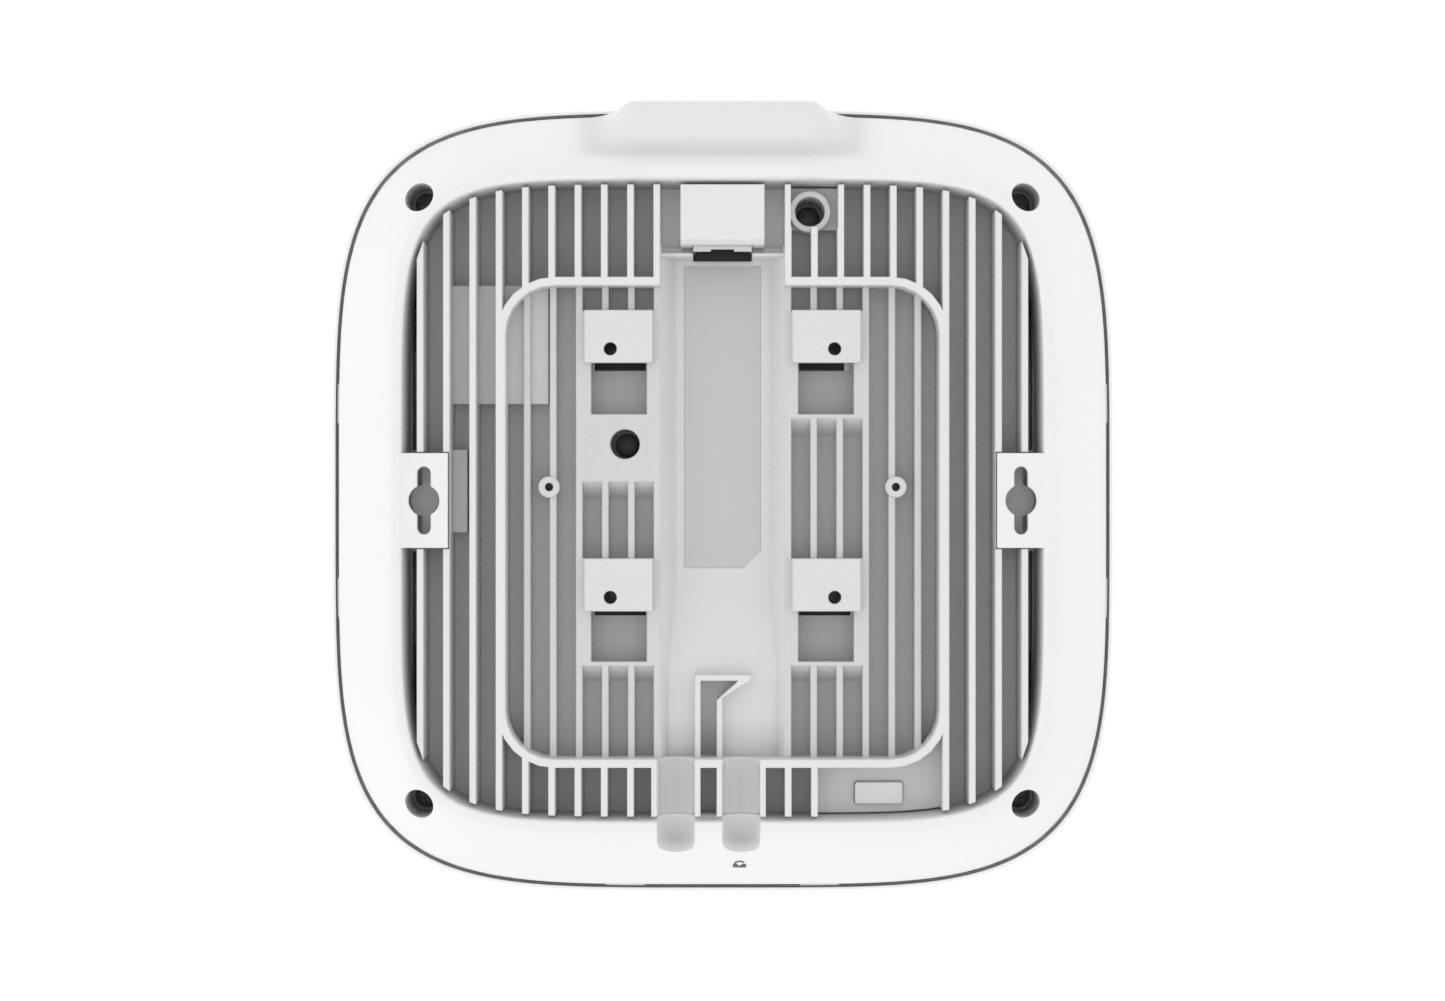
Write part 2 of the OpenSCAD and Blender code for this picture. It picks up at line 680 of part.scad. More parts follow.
// Notches for the bezel's keyhole boxes, and open slits beside the outermost fins
module side_cuts() {
    wide = keyhole_plate_l / 2 + FIT;
    slit_in = (fin_last + 0.5) * fin_pitch + fin_t / 2;
    for (side = [0, 1]) mirror([side, 0, 0]) {
        block([keyhole_edge - FIT, -wide, keyhole_floor - 2], [half, wide, crest_z + 1]);
        for (y = [wide + 0.8, -wide - 0.8 - slit_l])
            block([slit_in, y, plate_z - 1], [opening_half - FIT, y + slit_l, crest_z]);
    }
}

// Shaft of the service plug, with a ledge that the plug's cap rests on
module service_shaft() {
    translate([service_x, service_y, 0]) {
        prism(rounded_rect(service_w + 2 * service_gap, service_l + 2 * service_gap, 1),
            service_ledge, crest_z);
        prism(rounded_rect(service_w - 2.2, service_l - 2, 0.8), plate_z - 1, crest_z);
    }
}

module heat_sink() {
    color("gainsboro") difference() {
        union() {
            difference() {
                plate_and_fins();
                channel_cut();
            }
            ethernet_block();
            channel_island();
            screw_bosses();
            hook_tabs();
        }
        // room for the jack, which looks out into the channel
        block([-jack_w / 2 - FIT / 2, block_front - 0.3, board_top - 1],
            [jack_w / 2 + FIT / 2, jack_front + jack_l + FIT, board_top + jack_h + FIT]);
        // room above the board for the transformer
        block([transformer_pocket[0].x, transformer_pocket[0].y, plate_z - 1],
            [transformer_pocket[1].x, transformer_pocket[1].y, block_high_z - 1.8]);
        hook_pockets();
        screw_holes();
        side_cuts();
        service_shaft();
        groove_cuts();
    }
}

module rear_label() {
    color("lightgray") prism(label_outline(0), channel_z - label_t, channel_z);
}

// Screws ---------------------------------------------------------------------------------------

module corner_screws() {
    color("black") at_corners(corner_at) translate([0, 0, corner_seat_z])
        cross_screw(head_d, head_h, shank_d, corner_seat_z - 8);
}

module heat_sink_screws() {
    color("black") at_places(heat_screws) translate([0, 0, heat_seat_z])
        cross_screw(head_d, head_h, shank_d, heat_seat_z - tray_top + 0.5);
}

module board_screws() {
    color("silver") at_places(board_posts) translate([0, 0, board_top])
        cross_screw(5, 1.6, shank_d, board_t + 4);
}

module tray_screws() {
    color("silver") at_places(tray_posts) translate([0, 0, tray_top]) cross_screw(5, 1.6, shank_d, 6);
}

// Ethernet port --------------------------------------------------------------------------------

module ethernet_jack() {
    color("silver") difference() {
        block([-jack_w / 2, jack_front, jack_z], [jack_w / 2, jack_front + jack_l, jack_z + jack_h]);
        block([-jack_w / 2 + jack_sheet, jack_front - 1, jack_z + jack_sheet],
            [jack_w / 2 - jack_sheet, jack_front + jack_l - jack_sheet, jack_z + jack_h - jack_sheet]);
        // notch over the plug's latch
        block([-3.2, jack_front - 1, jack_z + jack_h - 1], [3.2, jack_front + 0.6, jack_z + jack_h + 1]);
    }
}

module jack_insert() {
    gap = jack_sheet + 0.05;
    color("dimgray") difference() {
        block([-jack_w / 2 + gap, jack_front + 0.6, jack_z + gap],
            [jack_w / 2 - gap, jack_front + jack_l - gap, jack_z + jack_h - gap]);
        block([-plug_way_w / 2, jack_front, way_z], [plug_way_w / 2, jack_front + 12, way_z + plug_way_h]);
        block([-3.2, jack_front, way_z], [3.2, jack_front + 9, jack_z + jack_h - gap - 0.7]);
    }
    // lip that runs out of the jack under the port
    color("dimgray") block([gap - jack_w / 2, block_front - 0.2, jack_z + gap],
        [jack_w / 2 - gap, jack_front + 1, way_z - 1.2]);
}

module jack_contacts() {
    color("gold") for (i = [0:7]) translate([(i - 3.5) * 1.02, 0, 0])
        rotate([90, 0, 90]) translate([0, 0, -0.2]) linear_extrude(0.4)
        polygon([[jack_front + 3, way_z + 0.1], [jack_front + 10, way_z + 2], [jack_front + 11.5, way_z + 2],
            [jack_front + 11.5, way_z + 2.4], [jack_front + 9.9, way_z + 2.4],
            [jack_front + 3, way_z + 0.5]]);
}

// Board and its parts --------------------------------------------------------------------------

module main_board() {
    color("darkgreen") difference() {
        prism(squircle(opening_half - 2.4, 5), board_z, board_top);
        at_places(heat_screws) translate([0, 0, board_z - 1])
            cylinder(r = heat_boss_r + 0.5, h = board_t + 2);
        at_places(board_posts) translate([0, 0, board_z - 1])
            cylinder(r = shank_d / 2 + 2 * shank_gap, h = board_t + 2);
    }
}

// A part on the board's upper face: centre, size
module on_board(at, size) {
    translate([at.x - size.x / 2, at.y - size.y / 2, board_top]) cube(size);
}

module processor() {
    color("dimgray") on_board([-48, 2], [19, 19, chip_h]);
}

module memory_chips() {
    color("black") for (y = [-2, 12]) on_board([-66, y], [9, 11, 1]);
}

module radio_chips() {
    color("black") for (p = radio_places) on_board(p, [12, 12, chip_h]);
}

module rf_shields() {
    wall = 0.3;
    color("silver") for (p = radio_places) difference() {
        on_board(p, radio_can);
        translate([0, 0, -wall]) on_board(p, radio_can - [2 * wall, 2 * wall, 0]);
    }
}

module thermal_pads() {
    shield_top = board_top + radio_can.z;
    color("lightblue") {
        block([-57, -7, board_top + chip_h], [-39, 11, plate_z]);
        for (p = radio_places) translate([p.x, p.y, 0]) block([-10, -8, shield_top], [10, 8, plate_z]);
    }
}

module lan_magnetics() {
    color("black") on_board([-32, opening_half - 12], [16, 10, 3]);
}

module power_transformer() {
    at = (transformer_pocket[0] + transformer_pocket[1]) / 2;
    color("darkslategray") on_board([at.x - 2, at.y + 3], [16, 18, chip_space + 3.4]);
}

module capacitors() {
    color("steelblue") for (p = [[-67, 31.5], [-60, 31.5]]) translate([p.x, p.y, board_top])
        cylinder(d = 5, h = chip_space + 2.6);
    color("tan") for (x = [26:4:42]) on_board([x, 46], [2, 1.2, 1]);
}

module inductors() {
    color("gray") for (p = [[-53, 32.5], [66, 56], [66, 10]]) on_board(p, [6, 6, 3]);
}

module reset_switch() {
    color("black") difference() {
        on_board([service_x, service_y], [6, 3.6, 2.6]);
        translate([service_x, service_y, board_top + 0.5]) cylinder(d = 2.4, h = 4);
    }
}

module reset_button() {
    color("ivory") translate([service_x, service_y, board_top + 1.1]) cylinder(d = 1.8, h = 3.6);
}

module service_plug() {
    color("whitesmoke") translate([service_x, service_y, 0]) {
        prism(rounded_rect(service_w, service_l, 0.8), service_ledge + 0.1, service_floor + service_rise);
        prism(rounded_rect(service_w - 2.9, service_l - 2.7, 0.6), board_top + 5.4, service_ledge + 0.2);
    }
}

module status_led() {
    color("white") translate([pipe_at.x - 1.5, pipe_at.y - 1.5, board_z - 0.9]) cube([3, 3, 0.9]);
}

module light_pipe() {
    color("lightcyan") translate([pipe_at.x, pipe_at.y, 0.1])
        cylinder(d = pipe_d, h = board_z - 0.9 - FIT - 0.1);
}

// Antennas -------------------------------------------------------------------------------------

module antenna_tray() {
    color("silver") difference() {
        union() {
            prism(squircle(opening_half + 1.6, 5), tray_z, tray_top);
            at_places(board_posts) translate([0, 0, tray_top - EPS])
                cylinder(r = 3, h = board_z - tray_top + EPS);
            at_places(heat_screws) translate([0, 0, tray_top - EPS])
                cylinder(r = 4, h = heat_boss_foot - tray_top + EPS);
        }
        at_places(board_posts) translate([0, 0, tray_top + 1])
            cylinder(r = shank_d / 2 + shank_gap, h = crest_z);
        at_places(heat_screws) translate([0, 0, tray_top - 0.6])
            cylinder(r = shank_d / 2 + shank_gap, h = crest_z);
        at_places(tray_posts) translate([0, 0, tray_z - 1])
            cylinder(r = shank_d / 2 + 2 * shank_gap, h = crest_z);
        at_places(feed_places) translate([0, 0, tray_z - 1]) cylinder(r = 1.6, h = 4);
        translate([pipe_at.x, pipe_at.y, tray_z - 1]) cylinder(r = pipe_d / 2 + 0.8, h = 4);
    }
}

// A bent sheet antenna that hangs below the tray: foot, upright and arm
module sheet_antenna(length, depth) {
    sheet = 0.6;
    block([-length / 2, 0, tray_z - sheet], [length / 2, 6, tray_z]);
    block([-length / 2, 0, tray_z - antenna_h], [length / 2, sheet, tray_z]);
    block([-length / 2, 0, tray_z - antenna_h], [length / 2, depth, tray_z - antenna_h + sheet]);
}

module wide_band_antennas() {
    color("goldenrod") for (turn = [0:90:270]) rotate(turn) translate([0, opening_half - 14, 0])
        sheet_antenna(34, 10);
}

module narrow_band_antennas() {
    color("goldenrod") for (turn = [0:90:270]) rotate(turn + 45) translate([0, opening_half - 5, 0])
        sheet_antenna(20, 8);
}

// A small aerial board that stands in the bump
module sensor_antenna() {
    y = half - bump_l / 2 + 1;
    color("seagreen") block([-20, y, bezel_edge_z + 2], [20, y + 0.8, bump_top - shell_wall - 1]);
}

module antenna_feeds() {
    color("black") at_places(feed_places) translate([0, 0, tray_z + 0.1])
        cylinder(r = 0.7, h = board_z - tray_z - 0.1);
}

front_cover();
rear_bezel();
seam_gasket();
heat_sink();
rear_label();
padlock_mark();
corner_screws();
heat_sink_screws();
ethernet_jack();
jack_insert();
jack_contacts();
main_board();
processor();
memory_chips();
radio_chips();
rf_shields();
thermal_pads();
lan_magnetics();
power_transformer();
capacitors();
inductors();
board_screws();
antenna_tray();
tray_screws();
wide_band_antennas();
narrow_band_antennas();
sensor_antenna();
antenna_feeds();
status_led();
light_pipe();
reset_switch();
reset_button();
service_plug();
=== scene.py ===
"""Looks of the ceiling access point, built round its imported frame.

The unit lies on its front face, mounting side up, and the camera looks straight down on it.
All sizes in the classes are in metres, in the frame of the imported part.
"""
import json
import logging
import math
from dataclasses import dataclass, field
from enum import Enum
from typing import Any, Callable, Iterable, Sequence, Union

import bmesh
import bpy
import numpy as np
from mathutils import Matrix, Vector


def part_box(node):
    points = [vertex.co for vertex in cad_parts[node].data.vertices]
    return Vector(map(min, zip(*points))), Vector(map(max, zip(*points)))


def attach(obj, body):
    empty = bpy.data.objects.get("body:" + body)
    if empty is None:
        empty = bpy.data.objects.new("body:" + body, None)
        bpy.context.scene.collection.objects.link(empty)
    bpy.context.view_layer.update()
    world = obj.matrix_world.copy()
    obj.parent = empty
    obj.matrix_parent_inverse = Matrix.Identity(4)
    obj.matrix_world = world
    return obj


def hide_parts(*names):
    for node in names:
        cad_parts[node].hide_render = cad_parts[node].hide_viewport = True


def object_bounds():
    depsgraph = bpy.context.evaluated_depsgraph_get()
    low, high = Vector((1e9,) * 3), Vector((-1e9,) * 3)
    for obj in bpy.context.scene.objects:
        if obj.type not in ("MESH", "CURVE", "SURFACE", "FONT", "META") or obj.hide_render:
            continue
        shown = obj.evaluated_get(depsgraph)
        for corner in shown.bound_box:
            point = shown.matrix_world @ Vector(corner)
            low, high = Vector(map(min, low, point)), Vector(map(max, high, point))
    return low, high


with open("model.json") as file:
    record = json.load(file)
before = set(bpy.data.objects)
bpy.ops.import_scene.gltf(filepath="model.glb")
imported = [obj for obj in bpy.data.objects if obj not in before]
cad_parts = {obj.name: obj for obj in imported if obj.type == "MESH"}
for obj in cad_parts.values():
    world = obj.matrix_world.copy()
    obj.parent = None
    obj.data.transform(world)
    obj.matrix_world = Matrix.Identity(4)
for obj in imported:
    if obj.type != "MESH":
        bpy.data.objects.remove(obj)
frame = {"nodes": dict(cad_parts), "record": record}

log = logging.getLogger("access_point")
CAD_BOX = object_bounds()
MM = 0.001
FIN_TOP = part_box("heat_sink")[1].z
HOUSING = "housing"
Number = Union[int, float, "Value"]
Point = Sequence[float]
Shell = tuple[list[Point], list[list[int]]]


# Node graphs ----------------------------------------------------------------------------------


class Value:
    """A number socket that takes part in Python expressions."""

    def __init__(self, graph: "Graph", socket: bpy.types.NodeSocket) -> None:
        """Wraps one output socket of a graph."""
        self.graph = graph
        self.socket = socket

    def out(self, name: Union[int, str]) -> "Value":
        """Another output of the same node."""
        return Value(self.graph, self.socket.node.outputs[name])

    def math(self, operation: str, *others: Number) -> "Value":
        """A Math node with this value first and the others after it.

        Args:
            operation: The node's operation, such as "MAXIMUM".
            others: The further inputs, none for one such as "SINE".

        Returns:
            The node's result.
        """
        inputs = dict(enumerate((self, *others)))
        return self.graph.node("ShaderNodeMath", {"operation": operation}, inputs)

    def __add__(self, other: Number) -> "Value":
        """self + other."""
        return self.math("ADD", other)

    __radd__ = __add__

    def __sub__(self, other: Number) -> "Value":
        """self - other."""
        return self.math("SUBTRACT", other)

    def __rsub__(self, other: Number) -> "Value":
        """other - self."""
        return (self * -1.0) + other

    def __mul__(self, other: Number) -> "Value":
        """self * other."""
        return self.math("MULTIPLY", other)

    __rmul__ = __mul__

    def __truediv__(self, other: Number) -> "Value":
        """self / other."""
        return self.math("DIVIDE", other)

    def __rtruediv__(self, other: Number) -> "Value":
        """other / self."""
        return self.graph.node("ShaderNodeMath", {"operation": "DIVIDE"}, {0: other, 1: self})

    def __pow__(self, other: Number) -> "Value":
        """self ** other."""
        return self.math("POWER", other)

    def clamp(self) -> "Value":
        """The value held between 0 and 1."""
        return self.math("MAXIMUM", 0.0).math("MINIMUM", 1.0)


class Graph:
    """A node tree that is filled through one method."""

    def __init__(self, tree: bpy.types.NodeTree) -> None:
        """Takes an empty node tree."""
        self.tree = tree

    def node(self, kind: str, settings: dict[str, Any] | None = None,
             inputs: dict[Any, Any] | None = None, output: Union[int, str] = 0) -> Value:
        """Adds one node.

        Args:
            kind: The node's type, such as "ShaderNodeMath".
            settings: The node's own properties.
            inputs: Values, or sockets to link, by the input's index or name.
            output: The output that the result wraps.

        Returns:
            The wrapped output, or a wrapper of the first input where the node has no output.
        """
        made = self.tree.nodes.new(kind)
        for key, value in (settings or {}).items():
            setattr(made, key, value)
        for key, value in (inputs or {}).items():
            if isinstance(value, Value):
                self.tree.links.new(value.socket, made.inputs[key])
            else:
                made.inputs[key].default_value = value
        return Value(self, (made.outputs or made.inputs)[output])

    def mix(self, factor: Number, first: Any, second: Any) -> Value:
        """A colour between two colours.

        Args:
            factor: 0 gives the first colour, 1 the second.
            first: A colour or a value.
            second: A colour or a value.

        Returns:
            The mixed colour.
        """
        return self.node("ShaderNodeMix", {"data_type": "RGBA"},
                         {"Factor": factor, 6: first, 7: second}, 2)

    def noise(self, vector: Value, scale: float, detail: float = 2.0) -> Value:
        """A noise texture's factor.

        Args:
            vector: Where the texture is read.
            scale: Waves for each metre.
            detail: Octaves of finer noise.

        Returns:
            The factor, from 0 to 1.
        """
        return self.node("ShaderNodeTexNoise", {}, {"Vector": vector, "Scale": scale, "Detail": detail})


# Finishes -------------------------------------------------------------------------------------


class Texture(Enum):
    """How a finish's fine relief is laid out."""

    GRAIN = "grain"        # even fine grain, as moulded or powder coated
    BRUSHED = "brushed"    # fine lines along X
    TRACES = "traces"      # tracks under a solder mask


@dataclass(frozen=True)
class Finish:
    """A finish of one material slot, with its fine relief and colour drift.

    Sizes of relief are in metres: grain_size across, grain_depth high. Painted shade, in place of the
    shade that falls on low surfaces such as the floors between fins, darkens the colour by deep_shade
    between the heights deep_from and deep_to, but hardly within unshaded_half of the middle above the
    line unshaded_low. Further painted shade darkens it by recess_shade where the piece's own
    "recess" attribute is 1. The radius of softened corners is edge.
    """

    name: str
    colour: tuple[float, float, float]
    roughness: float = 0.5
    metallic: float = 0.0
    drift: float = 0.06
    drift_size: float = 0.03
    grain_size: float = 0.0004
    grain_depth: float = 0.00001
    speckle: float = 0.03
    texture: Texture = Texture.GRAIN
    coat: float = 0.0
    clear: float = 0.0
    specular: float = 0.5
    edge: float = 0.0
    # deep_shade to unshaded_low set painted shade on low surfaces; recess_shade sets painted shade from
    # the piece's attribute.
    deep_shade: float = 0.0
    deep_from: float = 0.0
    deep_to: float = 0.0
    unshaded_half: float = 0.0
    unshaded_low: float = 0.0
    recess_shade: float = 0.0

    def shade(self, amount: float) -> tuple[float, float, float, float]:
        """The finish's colour, lightened or darkened by a share."""
        return tuple(min(1.0, c * (1.0 + amount)) for c in self.colour) + (1.0,)

    def relief(self, graph: Graph, place: Value) -> Value:
        """The height pattern, from 0 to 1.

        Args:
            graph: The material's graph.
            place: Object coordinates.

        Returns:
            The pattern's value.
        """
        if self.texture is Texture.BRUSHED:
            stretched = graph.node("ShaderNodeMapping", {}, {"Vector": place, "Scale": (0.03, 1.0, 1.0)})
            return graph.noise(stretched, 1.0 / self.grain_size, 3.0)
        if self.texture is Texture.TRACES:
            tracks = graph.node("ShaderNodeTexBrick", {"offset": 0.37, "squash": 2.0},
                                {"Vector": place, "Scale": 1.0 / self.grain_size, "Mortar Size": 0.09,
                                 "Mortar Smooth": 0.2, "Row Height": 0.22}, "Fac")
            return tracks * 0.8 + graph.noise(place, 3000.0) * 0.2
        fine = graph.noise(place, 1.0 / self.grain_size, 3.0)
        coarse = graph.noise(place, 0.3 / self.grain_size, 1.0)
        return fine * 0.7 + coarse * 0.3

    def build(self) -> bpy.types.Material:
        """The material, made from procedural nodes on object coordinates."""
        material = bpy.data.materials.new(self.name)
        material.use_nodes = True
        tree = material.node_tree
        tree.nodes.clear()
        graph = Graph(tree)
        place = graph.node("ShaderNodeTexCoord", output="Object")
        pattern = self.relief(graph, place)
        wander = graph.noise(place, 1.0 / self.drift_size, 3.0)
        speck = (pattern - 0.5) * self.speckle * 4.0
        blend = (wander + speck).clamp()
        colour = graph.mix(blend, self.shade(-self.drift), self.shade(self.drift))
        # Painted shade: the lower the surface, the darker, less so in the middle channel above
        # unshaded_low.
        if self.deep_shade:
            split = graph.node("ShaderNodeSeparateXYZ", {}, {0: place})
            depth = ((self.deep_from - split.out(2)) / (self.deep_from - self.deep_to)).clamp()
            outside = split.math("ABSOLUTE").math("GREATER_THAN", self.unshaded_half)
            outside = outside.math("MAXIMUM", ((self.unshaded_low - split.out(1)) / 0.012).clamp())
            shade = depth * (outside * 0.8 + 0.2) * self.deep_shade
            colour = graph.mix(shade, colour, (0.0, 0.0, 0.0, 1.0))
        # Painted shade from the piece's own attribute, in place of shade in recesses and where less
        # light falls.
        if self.recess_shade:
            recess = graph.node("ShaderNodeAttribute", {"attribute_name": "recess"}, output="Fac")
            colour = graph.mix(recess * self.recess_shade, colour, (0.0, 0.0, 0.0, 1.0))
        rough = (wander - 0.5) * 0.12 + (pattern - 0.5) * 0.1 + self.roughness
        bumps: dict[str, Any] = {"Height": pattern, "Strength": 1.0, "Distance": self.grain_depth}
        if self.edge:
            bumps["Normal"] = graph.node("ShaderNodeBevel", {"samples": 6}, {"Radius": self.edge})
        bump = graph.node("ShaderNodeBump", {}, bumps)
        shader = graph.node("ShaderNodeBsdfPrincipled", {}, {
            "Base Color": colour, "Roughness": rough.clamp(), "Normal": bump, "Metallic": self.metallic,
            "Coat Weight": self.coat, "Transmission Weight": self.clear,
            "Specular IOR Level": self.specular})
        graph.node("ShaderNodeOutputMaterial", {}, {"Surface": shader})
        return material


class Workshop:
    """Keeps one built material for each finish."""

    def __init__(self, finishes: Iterable[Finish]) -> None:
        """Takes the finishes by their slot names."""
        self.finishes = {f.name: f for f in finishes}
        self.built: dict[str, bpy.types.Material] = {}

    def material(self, slot: str) -> bpy.types.Material:
        """The slot's material, built on first use."""
        if slot not in self.built:
            self.built[slot] = self.finishes[slot].build()
        return self.built[slot]

    def dress(self, piece: bpy.types.Object, slot: str) -> None:
        """Gives a whole piece one slot's material."""
        piece.data.materials.clear()
        piece.data.materials.append(self.material(slot))


WHITE = 0.81
FINISHES = (
    # bezel_plastic's recess_shade is the strength of the ring's painted shade.
    Finish("bezel_plastic", (WHITE, WHITE, WHITE), 0.42, drift=0.012, grain_size=0.00035,
           grain_depth=0.000012, speckle=0.5, specular=0.35, edge=0.0004, recess_shade=0.45),
    Finish("cover_plastic", (WHITE, WHITE, WHITE), 0.40, drift=0.012, grain_size=0.00035,
           grain_depth=0.00001, speckle=0.4, specular=0.4),
    # cast_powder_coat's deep_shade is painted shade on the heat sink's low surfaces, between the fins
    # and in the lower channel.
    Finish("cast_powder_coat", (0.74, 0.74, 0.74), 0.5, drift=0.02, grain_size=0.0005,
           grain_depth=0.00002, speckle=0.5, specular=0.3, edge=0.0006, deep_shade=0.36,
           deep_from=FIN_TOP, deep_to=FIN_TOP - 12 * MM, unshaded_half=17 * MM, unshaded_low=-60 * MM),
    Finish("plug_plastic", (0.68, 0.68, 0.68), 0.45, drift=0.02, grain_size=0.0003, speckle=0.4,
           edge=0.0005),
    Finish("label_film", (0.53, 0.53, 0.53), 0.38, drift=0.02, grain_size=0.0003, speckle=0.3),
    Finish("ink", (0.10, 0.10, 0.10), 0.6, drift=0.2, drift_size=0.0008, grain_size=0.0001),
    Finish("black_screw", (0.06, 0.06, 0.06), 0.38, 0.3, drift=0.3, drift_size=0.003,
           grain_size=0.0002, grain_depth=0.000008),
    Finish("gasket_rubber", (0.01, 0.01, 0.01), 0.9, drift=0.3, grain_size=0.0003, specular=0.05),
    Finish("jack_metal", (0.58, 0.58, 0.57), 0.28, 1.0, drift=0.06, grain_size=0.00012,
           grain_depth=0.000003, texture=Texture.BRUSHED),
    Finish("jack_plastic", (0.02, 0.02, 0.022), 0.45, drift=0.2, grain_size=0.0002),
    Finish("contact_gold", (0.83, 0.62, 0.25), 0.25, 1.0, drift=0.08, grain_size=0.0001,
           grain_depth=0.000002, texture=Texture.BRUSHED),
    # board_laminate: the board's own dark green, made near black as painted shade so the inside seen
    # through holes reads as shadow.
    Finish("board_laminate", (0.006, 0.012, 0.009), 0.35, drift=0.25, drift_size=0.004, grain_size=0.004,
           grain_depth=0.00003, speckle=0.2, texture=Texture.TRACES, coat=0.3),
    Finish("chip_plastic", (0.03, 0.03, 0.033), 0.55, drift=0.15, grain_size=0.0002),
    Finish("shield_metal", (0.66, 0.66, 0.63), 0.33, 1.0, drift=0.08, grain_size=0.0002,
           grain_depth=0.000004, texture=Texture.BRUSHED),
    Finish("thermal_pad", (0.32, 0.45, 0.55), 0.75, drift=0.1, grain_size=0.0006, grain_depth=0.00003),
    Finish("ferrite", (0.06, 0.06, 0.065), 0.5, drift=0.2, grain_size=0.0004, grain_depth=0.00002),
    Finish("capacitor_can", (0.60, 0.61, 0.62), 0.3, 1.0, drift=0.06, grain_size=0.0002,
           grain_depth=0.000004, texture=Texture.BRUSHED),
    Finish("steel_screw", (0.60, 0.60, 0.60), 0.3, 1.0, drift=0.1, grain_size=0.0002),
    Finish("tray_metal", (0.70, 0.71, 0.72), 0.34, 1.0, drift=0.05, grain_size=0.0003,
           grain_depth=0.000006, texture=Texture.BRUSHED),
    Finish("antenna_metal", (0.72, 0.56, 0.32), 0.3, 1.0, drift=0.08, grain_size=0.0002,
           grain_depth=0.000004, texture=Texture.BRUSHED),
    Finish("feed_sleeve", (0.03, 0.03, 0.03), 0.5, drift=0.2, grain_size=0.0003),
    Finish("led_body", (0.82, 0.80, 0.70), 0.25, drift=0.05, grain_size=0.0002, coat=0.5),
    Finish("clear_pipe", (0.90, 0.93, 0.95), 0.12, drift=0.02, grain_size=0.0005, clear=0.8),
    Finish("button_plastic", (0.80, 0.77, 0.68), 0.45, drift=0.05, grain_size=0.0003),
)


# Mesh tools -----------------------------------------------------------------------------------


def new_object(name: str, points: Iterable[Point], faces: Iterable[Sequence[int]]) -> bpy.types.Object:
    """An object in the scene, made from its points and faces.

    Args:
        name: The object's name.
        points: Places in metres.
        faces: Each face as indices of its points.

    Returns:
        The linked object.
    """
    mesh = bpy.data.meshes.new(name)
    mesh.from_pydata([tuple(p) for p in points], [], [tuple(f) for f in faces])
    made = bpy.data.objects.new(name, mesh)
    bpy.context.scene.collection.objects.link(made)
    return made


def edit(piece: bpy.types.Object, work: Callable[[bmesh.types.BMesh], None]) -> None:
    """Runs a bmesh function on a piece's mesh.

    Args:
        piece: The object to change.
        work: Takes the mesh and changes it in place.
    """
    mesh = bmesh.new()
    mesh.from_mesh(piece.data)
    work(mesh)
    mesh.to_mesh(piece.data)
    mesh.free()


def outwards(mesh: bmesh.types.BMesh) -> None:
    """Turns every face outwards."""
    bmesh.ops.recalc_face_normals(mesh, faces=mesh.faces)


def smooth(piece: bpy.types.Object, angle: float = 35.0) -> None:
    """Shades a piece smooth, with sharp edges over an angle in degrees."""
    piece.data.shade_smooth()
    piece.data.set_sharp_from_angle(angle=math.radians(angle))


def apply_modifiers(piece: bpy.types.Object) -> None:
    """Turns a piece's modifiers into its plain mesh."""
    graph = bpy.context.evaluated_depsgraph_get()
    baked = bpy.data.meshes.new_from_object(piece.evaluated_get(graph))
    piece.modifiers.clear()
    piece.data = baked


def boolean(piece: bpy.types.Object, tool: bpy.types.Object, operation: str) -> None:
    """Joins a tool to a piece or cuts it away, and removes the tool.

    Args:
        piece: The object to change.
        tool: A closed object.
        operation: "UNION" or "DIFFERENCE".
    """
    modifier = piece.modifiers.new("cut", "BOOLEAN")
    modifier.operation = operation
    modifier.solver = "EXACT"
    modifier.object = tool
    apply_modifiers(piece)
    bpy.data.objects.remove(tool)


def joined(name: str, parts: Sequence[Shell]) -> bpy.types.Object:
    """One object from several closed shells, with faces outwards.

    Args:
        name: The object's name.
        parts: The shells, which may stand apart.

    Returns:
        The linked object.
    """
    points: list[Point] = []
    faces: list[list[int]] = []
    for more, sides in parts:
        start = len(points)
        points += list(more)
        faces += [[start + i for i in side] for side in sides]
    made = new_object(name, points, faces)
    edit(made, outwards)
    return made


def loft(rings: Sequence[Sequence[Point]]) -> Shell:
    """A closed shell through rings, capped by its first and last ring.

    Args:
        rings: Rings of points, each with the same number of points in the same order.

    Returns:
        The shell's points and faces.
    """
    n = len(rings[0])
    points = [p for ring in rings for p in ring]
    faces = [[j * n + i, j * n + (i + 1) % n, (j + 1) * n + (i + 1) % n, (j + 1) * n + i]
             for j in range(len(rings) - 1) for i in range(n)]
    last = (len(rings) - 1) * n
    return points, faces + [list(range(n - 1, -1, -1)), [last + i for i in range(n)]]


def block(low: Point, high: Point) -> Shell:
    """A box between two corners."""
    corners = [(low[0], low[1]), (high[0], low[1]), (high[0], high[1]), (low[0], high[1])]
    return loft([[(x, y, z) for x, y in corners] for z in (low[2], high[2])])


def tube(centre: Point, radii: Sequence[tuple[float, float]], count: int = 64) -> Shell:
    """A turned shape on a vertical axis.

    Args:
        centre: A point on the axis.
        radii: (radius, height) pairs from one end to the other.
        count: Steps round the axis.

    Returns:
        The closed shell.
    """
    turn = [2 * math.pi * i / count for i in range(count)]
    return loft([[(centre[0] + r * math.cos(a), centre[1] + r * math.sin(a), z) for a in turn]
                 for r, z in radii])


def ease(value: Any) -> Any:
    """A smooth step from 0 to 1."""
    held = np.clip(value, 0.0, 1.0)
    return held * held * (3.0 - 2.0 * held)


def carry(piece: bpy.types.Object, node: str, body: str = HOUSING) -> None:
    """Makes a finished piece stand for a CAD node and ride on its body.

    Args:
        piece: The finished object.
        node: The CAD node it stands for.
        body: The moving body it rides on.
    """
    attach(piece, body)
    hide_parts(node)
    count = sum(len(p.vertices) - 2 for p in piece.data.polygons)
    log.info("%s stands for %s: %d triangles", piece.name, node, count)


# Geometry node trees --------------------------------------------------------------------------


